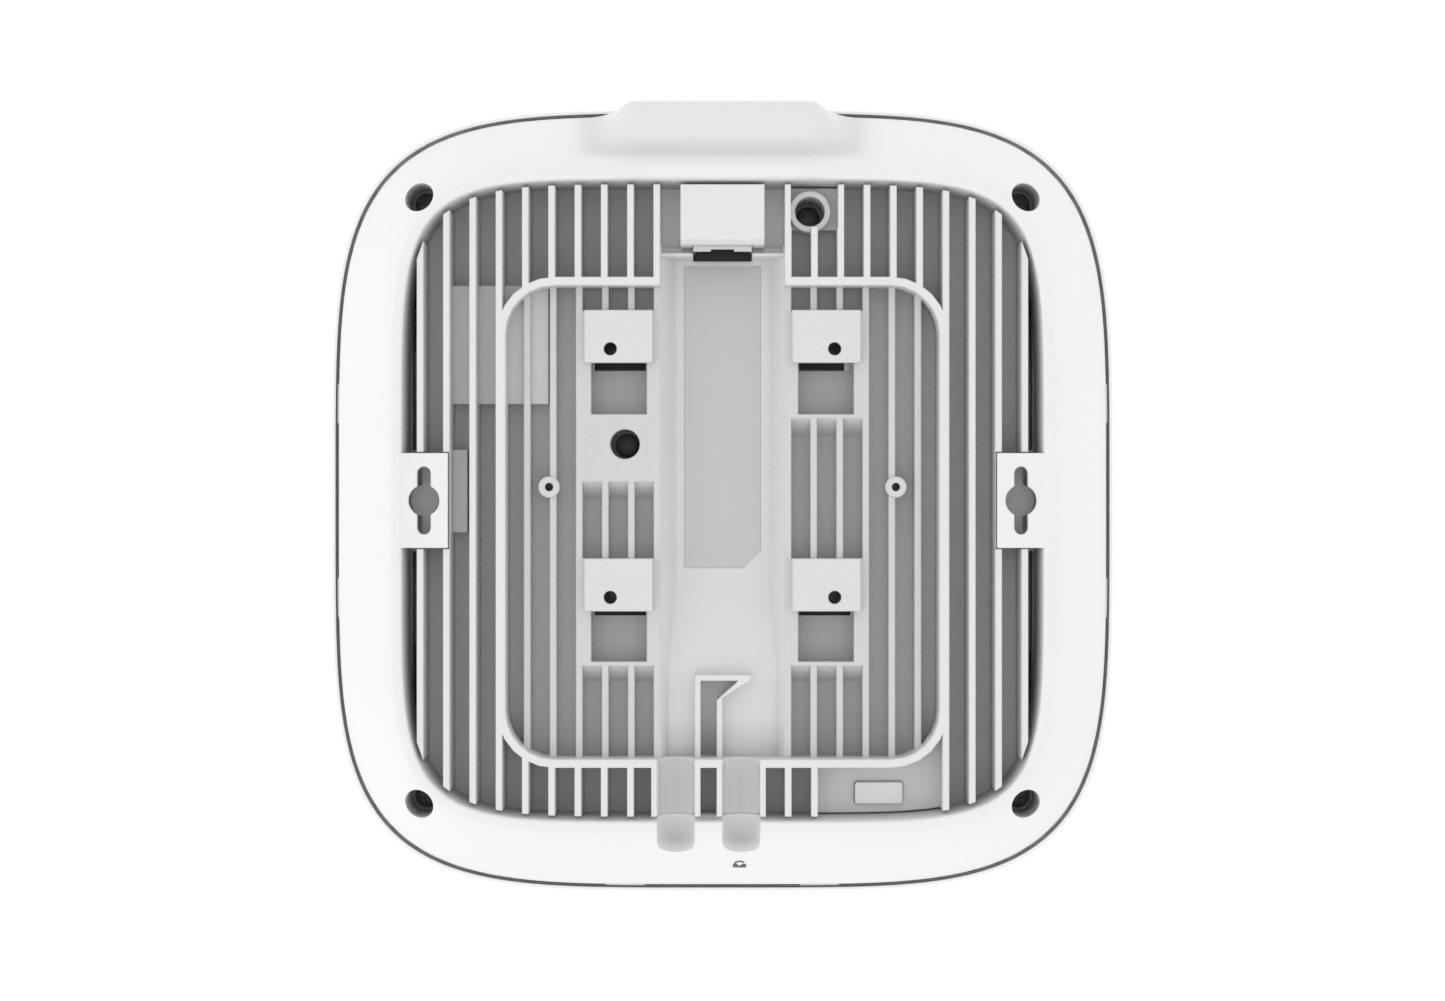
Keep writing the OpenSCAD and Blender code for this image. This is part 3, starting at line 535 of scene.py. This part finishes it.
class GeometryTree(Graph):
    """A geometry node tree with named inputs, applied to an object as one modifier."""

    def __init__(self, name: str, numbers: dict[str, float]) -> None:
        """Makes the tree with a geometry input and one input for each number.

        Args:
            name: The tree's name.
            numbers: The inputs' values by their names.
        """
        super().__init__(bpy.data.node_groups.new(name, "GeometryNodeTree"))
        face = self.tree.interface
        face.new_socket("Geometry", in_out="INPUT", socket_type="NodeSocketGeometry")
        face.new_socket("Geometry", in_out="OUTPUT", socket_type="NodeSocketGeometry")
        self.numbers = numbers
        self.identifiers: dict[str, str] = {}
        for key in numbers:
            made = face.new_socket(key, in_out="INPUT", socket_type="NodeSocketFloat")
            self.identifiers[key] = made.identifier
        self.group = self.node("NodeGroupInput")

    def given(self, name: str) -> Value:
        """A named input of the tree."""
        return self.group.out(name)

    def combine(self, x: Number, y: Number, z: Number) -> Value:
        """A vector from three numbers."""
        return self.node("ShaderNodeCombineXYZ", {}, {0: x, 1: y, 2: z})

    def finish(self, piece: bpy.types.Object, geometry: Value, material: bpy.types.Material) -> None:
        """Ends the tree, runs it on an object and keeps the result as a plain mesh.

        Args:
            piece: The object that holds the tree's input.
            geometry: The geometry to put out.
            material: The material of all its faces.
        """
        real = self.node("GeometryNodeRealizeInstances", {}, {0: geometry})
        dressed = self.node("GeometryNodeSetMaterial", {}, {0: real, "Material": material})
        self.node("NodeGroupOutput", {}, {0: dressed})
        modifier = piece.modifiers.new("shape", "NODES")
        modifier.node_group = self.tree
        for key, value in self.numbers.items():
            modifier[self.identifiers[key]] = value
        apply_modifiers(piece)
        edit(piece, outwards)


def lathe(tree: GeometryTree, around: int, along: int,
          profile: Callable[[Value, Value], tuple[Value, Value]]) -> Value:
    """A turned or nearly turned shape, as a grid wrapped round the Z axis.

    Args:
        tree: The tree to build in.
        around: Steps round the axis.
        along: Steps along the profile.
        profile: Takes the angle and the way along the profile, from 0 to 1, and gives radius and height.

    Returns:
        The closed mesh.
    """
    grid = tree.node("GeometryNodeMeshGrid", {}, {"Size X": 1.0, "Size Y": 1.0,
                                                  "Vertices X": around + 1, "Vertices Y": along + 1})
    place = tree.node("ShaderNodeSeparateXYZ", {}, {0: tree.node("GeometryNodeInputPosition")})
    angle = (place + 0.5) * (2.0 * math.pi)
    radius, height = profile(angle, place.out(1) + 0.5)
    moved = tree.combine(radius * angle.math("COSINE"), radius * angle.math("SINE"), height)
    wrapped = tree.node("GeometryNodeSetPosition", {}, {0: grid, "Position": moved})
    return tree.node("GeometryNodeMergeByDistance", {}, {0: wrapped, "Distance": 1e-6})


# The housing ----------------------------------------------------------------------------------


@dataclass
class Outline:
    """A rounded-square outline, where power 2 is a circle and more is squarer."""

    half: float
    power: float

    def radius(self, angle: np.ndarray) -> np.ndarray:
        """Distance from the middle at each angle."""
        share = np.abs(np.cos(angle)) ** self.power + np.abs(np.sin(angle)) ** self.power
        return self.half / share ** (1.0 / self.power)


@dataclass
class FrontCover:
    """The radome: one soft shell whose edge follows the housing's outline."""

    shop: Workshop
    half: float = CAD_BOX[1].x
    power: float = 4.4
    edge_round: float = 20 * MM
    wall: float = 2.5 * MM
    rim: float = 2 * MM
    gap: float = 0.5 * MM
    top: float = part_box("front_cover")[1].z

    def build(self) -> bpy.types.Object:
        """Builds the shell with a node tree and cuts the light pipe's window."""
        tree = GeometryTree("radome", {"Half Width": self.half, "Power": self.power,
                                       "Edge Radius": self.edge_round, "Wall": self.wall})
        half, power = tree.given("Half Width"), tree.given("Power")
        edge, wall = tree.given("Edge Radius"), tree.given("Wall")

        def profile(angle: Value, way: Value) -> tuple[Value, Value]:
            """Outer face from the middle to the rim, then the inner face back.

            Args:
                angle: The angle round the axis.
                way: The way along the profile, from 0 to 1.

            Returns:
                Radius and height.
            """
            inner = way.math("GREATER_THAN", 0.5)
            out = 1.0 - (way * 2.0 - 1.0).math("ABSOLUTE")
            flat = (out / 0.3).clamp()
            bend = ((out - 0.3) / 0.5).clamp() * (math.pi / 2)
            lip = ((out - 0.8) / 0.15).clamp()
            arc = edge - inner * wall
            reach = (half - edge) * flat + arc * bend.math("SINE")
            height = edge - (1.0 - inner) * arc * bend.math("COSINE")
            height = height - inner * arc * bend.math("COSINE")
            rise = lip * (self.top - self.edge_round)
            lean = lip * lip * (0.9 * MM)
            step = lip.math("GREATER_THAN", 0.05) * inner * (self.wall - self.rim + self.gap)
            reach = reach - (1.0 - inner) * lean + step
            round_in = angle.math("COSINE").math("ABSOLUTE") ** power
            round_in = round_in + angle.math("SINE").math("ABSOLUTE") ** power
            return reach / round_in ** (1.0 / power), height + rise

        shell = new_object("front_cover_shell", [], [])
        tree.finish(shell, lathe(tree, 256, 60, profile), self.shop.material("cover_plastic"))
        low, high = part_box("light_pipe")
        centre = (low + high) / 2
        radius = (high.x - low.x) / 2 + 0.15 * MM
        boolean(shell, joined("window", [tube(centre, [(radius, -MM), (radius, 6 * MM)])]), "DIFFERENCE")
        self.shop.dress(shell, "cover_plastic")
        smooth(shell)
        carry(shell, "front_cover")
        return shell


@dataclass
class RearBezel:
    """The sloping white ring with the bump, corner screw wells, keyhole plates and cable grooves.

    The ring's "recess" attribute holds painted shade: it darkens what lies lower than the
    ring's plain face by shade_from, fully after a further shade_range, and lip_shade of that at the
    grooves' inner lip. On the bump, where less light falls, it is hollow_shade in the hollow behind the
    crest, face_shade beyond it and foot_shade at its feet.
    """

    shop: Workshop
    seam: Outline = field(default_factory=lambda: Outline(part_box("rear_bezel")[1].x - 0.3 * MM, 4.4))
    opening: Outline = field(default_factory=lambda: Outline(86.4 * MM, 6.3))
    ring: float = 21.2 * MM
    crest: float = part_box("rear_bezel")[1].z
    foot: float = 22 * MM
    seam_top: float = 23.8 * MM
    floor: float = 29.3 * MM
    wall: float = 2.5 * MM
    crest_flat: float = 3.6 * MM
    bump_half: float = 31 * MM
    bump_blend: float = 15 * MM
    corner_at: float = 83 * MM
    corner_radius: float = 4.2 * MM
    keyhole_at: float = 81.2 * MM
    groove_xs: tuple[float, float] = (-12.7 * MM, 5.12 * MM)
    groove_half: float = 5.1 * MM
    groove_depth: float = 8.5 * MM
    rib_turn: float = math.atan2(27, 107)
    rib_half: float = 0.048
    rib_reach: float = 0.3 * MM
    # Painted shade: the fields from here to foot_shade set where the ring is darkened and how much.
    shade_from: float = 1.0 * MM
    shade_range: float = 6 * MM
    lip_shade: float = 0.3
    hollow_at: float = 9.4 * MM
    hollow_width: float = 2.8 * MM
    hollow_shade: float = 0.26
    face_shade: float = 0.2
    foot_at: float = 36.5 * MM
    foot_width: float = 4.5 * MM
    foot_shade: float = 0.3
    around: int = 720

    def slope(self, out: Any) -> Any:
        """Height of the ring's outer face at a distance out from the opening."""
        share = np.clip(out - self.crest_flat, 0.0, None) / (self.ring - self.crest_flat)
        return self.crest - (self.crest - self.seam_top) * share ** 1.15

    def ring_profile(self) -> np.ndarray:
        """Points (out, height) of the plain ring, from the crest's inner edge to the seam."""
        rounding = [(0.9 + 0.9 * (1 - math.cos(t)), -0.9 * (1 - math.sin(t)))
                    for t in np.linspace(0, math.pi / 2, 6)]
        lip = [(x * MM, self.crest + z * MM) for x, z in [(0.1, -9.0), (0.45, -4.0)] + rounding]
        outs = np.linspace(2.2 * MM, self.ring - 0.4 * MM, 34)
        face = [(o, float(self.slope(o))) for o in outs]
        edge = [(self.ring - 0.1 * MM, self.seam_top - 0.2 * MM), (self.ring, self.seam_top - 0.6 * MM)]
        return np.array(lip + face + edge)

    def bump_profile(self) -> np.ndarray:
        """Points (out, height) across the middle of the bump, as many as the plain ring has."""
        knots = [(0.1, -9.0), (0.9, -0.9), (1.4, -0.1), (2.2, 0), (4.5, -0.3), (7.0, -2.4), (8.9, -3.9),
                 (10.6, -3.6), (12.4, -2.3), (14.5, -2.0), (20.2, -2.0), (22.2, -2.5), (23.2, -3.9),
                 (23.5, -6.5), (23.5, -12.0), (23.4, -17.6), (22.6, -18.2), (21.6, -18.8)]
        path = np.array(knots) * MM
        steps = np.concatenate([[0], np.cumsum(np.hypot(*np.diff(path, axis=0).T))])
        fine = np.linspace(0, steps[-1], 400)
        dense = np.stack([np.interp(fine, steps, path[:, k]) for k in (0, 1)], axis=1)
        kernel = np.hanning(27) / np.hanning(27).sum()
        padded = np.pad(dense, ((13, 13), (0, 0)), mode="edge")
        soft = np.stack([np.convolve(padded[:, k], kernel, "valid") for k in (0, 1)], axis=1)
        picks = np.linspace(0, len(soft) - 1, len(self.ring_profile())).round().astype(int)
        result = soft[picks]
        result[:, 1] += self.crest
        return result

    def shell(self) -> Shell:
        """The ring's closed shell with the bump blended in."""
        plain, bump = self.ring_profile(), self.bump_profile()
        angle = np.linspace(0, 2 * math.pi, self.around, endpoint=False)
        inner, outer = self.opening.radius(angle), self.seam.radius(angle)
        x = outer * np.cos(angle)
        weight = ease((self.bump_half + self.bump_blend / 2 - np.abs(x)) / self.bump_blend)
        weight = np.where(np.sin(angle) > 0, weight, 0.0)
        inside = [(self.ring, self.foot), (self.ring - self.wall, self.foot),
                  (self.wall, self.crest - self.wall - MM), (self.wall, self.floor), (0.0, self.floor)]
        rings = []
        for flat, raised in zip(plain, bump):
            out = flat[0] * (1 - weight) + raised[0] * weight
            high = flat[1] * (1 - weight) + raised[1] * weight
            rings.append((out, high))
        rings += [(np.full(self.around, out), np.full(self.around, high)) for out, high in inside]
        points: list[Point] = []
        for out, high in rings:
            reach = inner + (outer - inner) * out / self.ring
            points += list(zip(reach * np.cos(angle), reach * np.sin(angle), high))
        n, m = self.around, len(rings)
        faces = [[j * n + i, j * n + (i + 1) % n, (j + 1) % m * n + (i + 1) % n, (j + 1) % m * n + i]
                 for j in range(m) for i in range(n)]
        return points, faces

    def reach_at(self, x: float, y: float) -> float:
        """Distance out from the opening of a point, measured across the ring."""
        angle = np.array(math.atan2(y, x))
        inner, outer = float(self.opening.radius(angle)), float(self.seam.radius(angle))
        return (math.hypot(x, y) - inner) / (outer - inner) * self.ring

    def well(self, x: float, y: float) -> Shell:
        """The wall of one corner screw's well, cut to the slope of the ring.

        Args:
            x: Place of the screw.
            y: Place of the screw.

        Returns:
            The well's closed shell.
        """
        radius = self.corner_radius + 1.8 * MM
        turn = [2 * math.pi * i / 48 for i in range(48)]
        circle = [(x + radius * math.cos(a), y + radius * math.sin(a)) for a in turn]
        top = [(px, py, float(self.slope(self.reach_at(px, py))) - 1.2 * MM) for px, py in circle]
        return loft([[(px, py, 18.5 * MM) for px, py in circle], top])

    def keyhole_box(self, side: int) -> list[Shell]:
        """One keyhole's plate with its side wall and floor, as shells that are joined one by one.

        Args:
            side: 1 or -1, the sign of X.

        Returns:
            The closed shells.
        """
        wide, wall, edge = 12.9 * MM, 1.6 * MM, 74.7 * MM
        top, floor = self.crest - 0.12 * MM, self.crest - 7.5 * MM
        rim, clear = self.opening.half + 3.2 * MM, 0.01 * MM
        disc = [(4.7 * MM, floor - wall + 2 * clear), (4.7 * MM, floor - 2 * clear)]

        def strip(x0: float, x1: float, y0: float, y1: float, z0: float, z1: float) -> Shell:
            """A box mirrored to the side it belongs to."""
            xs = sorted((side * x0, side * x1))
            return block((xs[0], y0, z0), (xs[1], y1, z1))

        return [strip(edge, rim, -wide, wide, top - 2 * MM, top),
                strip(edge, self.keyhole_at + 1.4 * MM, -wide + wall, wide - wall, floor - wall, floor),
                tube((side * self.keyhole_at, 0, 0), disc),
                strip(edge, edge + wall, -wide + wall, wide - wall,
                      floor - wall + clear, top - 2 * MM - clear)]

    def keyhole(self, side: int) -> list[Shell]:
        """Cutters for one keyhole: the round middle and the slots.

        Args:
            side: 1 or -1, the sign of X.

        Returns:
            The closed shells.
        """
        x = side * self.keyhole_at
        turn = [math.pi * i / 12 for i in range(13)]
        half, reach = 1.875 * MM, 7.375 * MM
        ends = [(x + half * math.cos(a), reach + half * math.sin(a)) for a in turn]
        ends += [(x - half * math.cos(a), -reach - half * math.sin(a)) for a in turn]
        low, high = self.crest - 7.5 * MM, self.crest + MM
        slot = loft([[(px, py, z) for px, py in ends] for z in (low + MM, high)])
        return [tube((x, 0, 0), [(4.25 * MM, low), (4.25 * MM, high)]), slot]

    def groove(self, x: float) -> Shell:
        """A cutter with a round bottom and a rounded end, along one cable groove.

        Args:
            x: Middle of the groove.

        Returns:
            The closed shell.
        """
        half, depth, end = self.groove_half, self.groove_depth, -97.4 * MM
        start, nose = -82 * MM, 4.5 * MM
        rings = []
        stations = [(start, 1.0)] + [(end + nose * (1 - math.sin(t)), math.cos(t) * 0.97 + 0.03)
                                     for t in np.linspace(0, math.pi / 2, 9)]
        for y, share in stations:
            low, wide = self.crest - depth * share, half * share ** 0.75
            bottom = [(x + wide * math.cos(a), low + half * share * (1 + math.sin(a)))
                      for a in np.linspace(math.pi, 2 * math.pi, 17)]
            top = self.crest + 2 * MM
            section = [(bottom[0][0], top)] + bottom + [(bottom[-1][0], top)]
            rings.append([(px, y, pz) for px, pz in section])
        return loft(rings)

    def trough(self) -> Shell:
        """The grooves' floor under the ring's face."""
        low = self.crest - self.groove_depth - 2 * MM
        top = self.crest - 0.7 * MM
        section = [(-86.15, low), (-99.4, low), (-99.4, float(self.slope(13 * MM)) - 0.7 * MM),
                   (-90, top), (-87.8, top), (-86.15, top - 5 * MM)]
        beside = self.groove_half + 2 * MM
        xs = (self.groove_xs[0] - beside, self.groove_xs[1] + beside)
        return loft([[(x, y * MM, z) for y, z in section] for x in xs])

    def seam_rib(self, middle: float) -> Shell:
        """One short rib that centres the bezel in the cover's rim.

        Args:
            middle: The angle of its middle, in radians.

        Returns:
            The closed shell.
        """
        angles = np.linspace(middle - self.rib_half, middle + self.rib_half, 9)
        rim = self.seam.radius(angles)
        rings = []
        for height in (self.foot + 0.2 * MM, self.seam_top - 0.6 * MM):
            arcs = [[(r * math.cos(a), r * math.sin(a), height) for r, a in zip(edge, angles)]
                    for edge in (rim + self.rib_reach, rim - MM)]
            rings.append(arcs[0] + arcs[1][::-1])
        return loft(rings)

    def mark_recess(self, piece: bpy.types.Object) -> None:
        """Stores painted shade, how much each point is darkened from 0 to 1, as the attribute "recess".

        Args:
            piece: The finished ring.
        """
        count = len(piece.data.vertices)
        place = np.empty(count * 3)
        piece.data.vertices.foreach_get("co", place)
        x, y, z = place.reshape(-1, 3).T
        angle = np.arctan2(y, x)
        inner, outer = self.opening.radius(angle), self.seam.radius(angle)
        out = (np.hypot(x, y) - inner) / (outer - inner) * self.ring
        # Painted shade in recesses: darker the further a point lies below the ring's plain face.
        below = self.slope(np.minimum(out, self.ring)) - z
        depth = np.clip((below - self.shade_from) / self.shade_range, 0.0, 1.0)
        for x0 in self.groove_xs:
            lip = (np.abs(x - x0) < self.groove_half + 1 * MM) & (y < 0) & (out < 2 * MM)
            depth[lip] *= self.lip_shade
        bump = (y > self.opening.half + 4 * MM) & (np.abs(x) < self.bump_half + self.bump_blend)
        depth[bump | (out > self.ring - 2 * MM)] = 0.0
        # Painted shade on the bump where less light falls: the hollow behind the crest, its face and its
        # feet.
        inside = ease((40 * MM - np.abs(x)) / (12 * MM))
        hollow = self.hollow_shade * np.exp(-(((out - self.hollow_at) / self.hollow_width) ** 2))
        hollow = (hollow + self.face_shade * (out > 8 * MM)) * inside
        foot = self.foot_shade * np.exp(-(((np.abs(x) - self.foot_at) / self.foot_width) ** 2))
        foot = foot * np.clip((out - 6 * MM) / (5 * MM), 0, 1)
        depth += np.where(y > self.opening.half, hollow + foot, 0.0)
        # Painted shade along the ring's outer edge, so the seam to the cover reads dark.
        depth[(np.abs(out - self.ring) < 0.06 * MM) & (y < self.opening.half)] = 1.0
        piece.data.attributes.new("recess", "FLOAT", "POINT").data.foreach_set("value", depth)

    def build(self) -> bpy.types.Object:
        """Builds the ring, joins its wells, plates and troughs and cuts its openings."""
        ring = joined("rear_bezel_ring", [self.shell()])
        corners = [(a * self.corner_at, b * self.corner_at) for a in (1, -1) for b in (1, -1)]
        ribs = [turn * math.pi / 2 + side * self.rib_turn for turn in (0, 2, 3) for side in (-1, 1)]
        extras = [self.well(x, y) for x, y in corners] + [self.trough()]
        extras += [self.seam_rib(middle) for middle in ribs]
        boolean(ring, joined("extras", extras), "UNION")
        for side in (1, -1):
            for part in self.keyhole_box(side):
                boolean(ring, joined("plate", [part]), "UNION")
        head, hole = self.corner_radius, 1.7 * MM
        cuts = [tube((x, y, 0), [(head, 20.5 * MM), (head, 50 * MM)]) for x, y in corners]
        cuts += [tube((x, y, 0), [(hole, 10 * MM), (hole, 19.9 * MM)]) for x, y in corners]
        cuts += [self.groove(x) for x in self.groove_xs]
        boolean(ring, joined("cuts", cuts), "DIFFERENCE")
        for side in (1, -1):
            for part in self.keyhole(side):
                boolean(ring, joined("keyhole", [part]), "DIFFERENCE")
        self.mark_recess(ring)
        self.shop.dress(ring, "bezel_plastic")
        smooth(ring, 32)
        carry(ring, "rear_bezel")
        return ring


@dataclass
class SoftenedNode:
    """A CAD node shown as a copy whose edges are rounded."""

    shop: Workshop
    node: str
    slot: str
    width: float = 0.3 * MM
    segments: int = 2
    body: str = HOUSING

    def build(self) -> bpy.types.Object:
        """Copies, merges and bevels the node's mesh."""
        source = frame["nodes"][self.node]
        piece = bpy.data.objects.new(self.node + "_soft", source.data.copy())
        bpy.context.scene.collection.objects.link(piece)

        def merge(mesh: bmesh.types.BMesh) -> None:
            """Joins loose triangles into large flat faces."""
            bmesh.ops.remove_doubles(mesh, verts=mesh.verts, dist=2e-6)
            bmesh.ops.dissolve_limit(mesh, angle_limit=math.radians(0.6), verts=mesh.verts,
                                     edges=mesh.edges)

        edit(piece, merge)
        bevel = piece.modifiers.new("soft edges", "BEVEL")
        bevel.width = self.width
        bevel.segments = self.segments
        bevel.limit_method = "ANGLE"
        bevel.angle_limit = math.radians(35)
        bevel.use_clamp_overlap = False
        bevel.harden_normals = False
        apply_modifiers(piece)
        self.shop.dress(piece, self.slot)
        smooth(piece, 50)
        carry(piece, self.node, self.body)
        return piece


# Fasteners ------------------------------------------------------------------------------------


@dataclass
class ScrewSet:
    """Cross-head screws on their seats, made as instances of one head."""

    shop: Workshop
    node: str
    slot: str
    seats: Sequence[Point]
    head: float = 6.5 * MM
    height: float = 2.2 * MM
    shank: float = 3 * MM
    length: float = 9 * MM

    def build(self) -> bpy.types.Object:
        """Builds the screws with a node tree."""
        tree = GeometryTree(self.node + "_tree", {"Head Diameter": self.head, "Head Height": self.height,
                                                  "Shank Diameter": self.shank, "Length": self.length})
        head, tall = tree.given("Head Diameter"), tree.given("Head Height")
        shank, length = tree.given("Shank Diameter"), tree.given("Length")

        def profile(_: Value, way: Value) -> tuple[Value, Value]:
            """Crown, rounded edge, seat, shank and point.

            Args:
                way: The way along the profile, from 0 to 1.

            Returns:
                Radius and height.
            """
            crown = (way / 0.3).clamp()
            corner = ((way - 0.3) / 0.2).clamp()
            seat = ((way - 0.5) / 0.1).clamp()
            stem = ((way - 0.6) / 0.3).clamp()
            tip = ((way - 0.9) / 0.1).clamp()
            radius = head * 0.5 * (crown * 0.9 + (corner * (math.pi / 2)).math("SINE") * 0.1)
            radius = radius - seat * (head - shank) * 0.5 - tip * shank * 0.5
            dome = tall * (1.0 - crown * crown * 0.12)
            height = dome - corner * corner * tall * 0.88 - stem * length - tip * (1.0 * MM)
            return radius, height

        cut = lathe(tree, 36, 40, profile)
        for across, along, lift in ((0.60, 0.13, 0.96), (0.13, 0.60, 0.95)):
            size = tree.combine(head * across, head * along, tall)
            cube = tree.node("GeometryNodeMeshCube", {}, {"Size": size})
            raised = tree.combine(0.0, 0.0, tall * lift)
            bar = tree.node("GeometryNodeTransform", {}, {0: cube, "Translation": raised})
            cut = tree.node("GeometryNodeMeshBoolean", {"operation": "DIFFERENCE", "solver": "EXACT"},
                            {"Mesh 1": cut, "Mesh 2": bar})
        placed = tree.node("GeometryNodeInstanceOnPoints", {}, {"Points": tree.group, "Instance": cut})
        piece = new_object(self.node + "_set", self.seats, [])
        tree.finish(piece, placed, self.shop.material(self.slot))
        smooth(piece, 40)
        carry(piece, self.node)
        return piece


# The stage ------------------------------------------------------------------------------------


@dataclass
class Studio:
    """Floor, soft light and the camera that looks straight down."""

    camera_height: float = CAD_BOX[1].z + 0.6
    lens: float = 55.0
    horizon: float = 1.36
    zenith: float = 1.13
    far_side: float = -0.42
    low_corner: float = -0.75

    def floor(self) -> None:
        """A wide pale floor under the unit."""
        size = 3.0
        corners = [(-size, -size, 0), (size, -size, 0), (size, size, 0), (-size, size, 0)]
        plane = new_object("floor", corners, [(0, 1, 2, 3)])
        material = bpy.data.materials.new("pale_floor")
        material.use_nodes = True
        material.node_tree.nodes.clear()
        graph = Graph(material.node_tree)
        place = graph.node("ShaderNodeTexCoord", output="Object")
        colour = graph.mix(graph.noise(place, 3.0), (0.93, 0.93, 0.93, 1), (0.95, 0.95, 0.95, 1))
        shader = graph.node("ShaderNodeBsdfPrincipled", {}, {
            "Base Color": colour, "Roughness": 0.9, "Emission Color": (1, 1, 1, 1),
            "Emission Strength": 0.3})
        graph.node("ShaderNodeOutputMaterial", {}, {"Surface": shader})
        plane.data.materials.append(material)

    def sky(self) -> None:
        """Soft light from all round, weaker from above, the bump's side and one lower corner."""
        world = bpy.data.worlds.new("studio")
        world.use_nodes = True
        world.node_tree.nodes.clear()
        graph = Graph(world.node_tree)
        place = graph.node("ShaderNodeTexCoord", output="Generated")
        way = graph.node("ShaderNodeSeparateXYZ", {}, {0: place})
        high = way.out(2).clamp()
        behind = way.out(1).clamp()
        corner = (way.out(0) * 0.55 - way.out(1) * 0.83).clamp().math("POWER", 4.0)
        strength = self.horizon + high * (self.zenith - self.horizon)
        strength = strength + behind * self.far_side + corner * self.low_corner
        light = graph.node("ShaderNodeBackground", {}, {"Color": (1, 1, 1, 1), "Strength": strength})
        graph.node("ShaderNodeOutputWorld", {}, {"Surface": light})
        bpy.context.scene.world = world

    def camera(self) -> None:
        """The camera, straight above the unit's middle."""
        data = bpy.data.cameras.new("camera")
        data.lens = self.lens
        data.clip_start = 0.01
        made = bpy.data.objects.new("camera", data)
        made.location = (0.0, 0.0, self.camera_height)
        bpy.context.scene.collection.objects.link(made)
        bpy.context.scene.camera = made

    def build(self) -> None:
        """Sets up floor, light, camera and a neutral view."""
        self.floor()
        self.sky()
        self.camera()
        bpy.context.scene.view_settings.view_transform = "Standard"


def screw_seats(node: str, z: float) -> list[Point]:
    """Middles of a CAD node's separate screws, found from their points.

    Args:
        node: A CAD node that holds several screws.
        z: Height of the seats.

    Returns:
        One seat for each screw.
    """
    places: list[Vector] = []
    for vertex in frame["nodes"][node].data.vertices:
        flat = Vector((vertex.co.x, vertex.co.y))
        for known in places:
            if (known[0] - flat).length < 8 * MM:
                known[1].append(flat)
                break
        else:
            places.append((flat, [flat]))
    seats = []
    for _, group in places:
        xs, ys = [p.x for p in group], [p.y for p in group]
        seats.append(((min(xs) + max(xs)) / 2, (min(ys) + max(ys)) / 2, z))
    return seats


def dress_frame(shop: Workshop) -> None:
    """Gives every CAD node that stays its finish from the record's slots."""
    for part in frame["record"]["subparts"]:
        shop.dress(frame["nodes"][part["node"]], part["material_slot"])


def build_screws(shop: Workshop, node: str, length: float) -> None:
    """Builds one set of screws on the seats of its CAD node.

    Args:
        shop: The workshop with the finishes.
        node: The CAD node the set stands for.
        length: Length of the shanks.
    """
    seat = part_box(node)[1].z - ScrewSet.height
    ScrewSet(shop, node, "black_screw", screw_seats(node, seat), length=length).build()


def main() -> None:
    """Builds every sub-assembly in order and reports it."""
    logging.basicConfig(level=logging.INFO, format="%(name)s: %(message)s")
    shop = Workshop(FINISHES)
    dress_frame(shop)
    Studio().build()
    FrontCover(shop).build()
    RearBezel(shop).build()
    SoftenedNode(shop, "service_plug", "plug_plastic", 0.35 * MM, 3, "service_plug").build()
    build_screws(shop, "corner_screws", 12 * MM)
    build_screws(shop, "heat_sink_screws", 6 * MM)


if __name__ == "__main__":
    main()
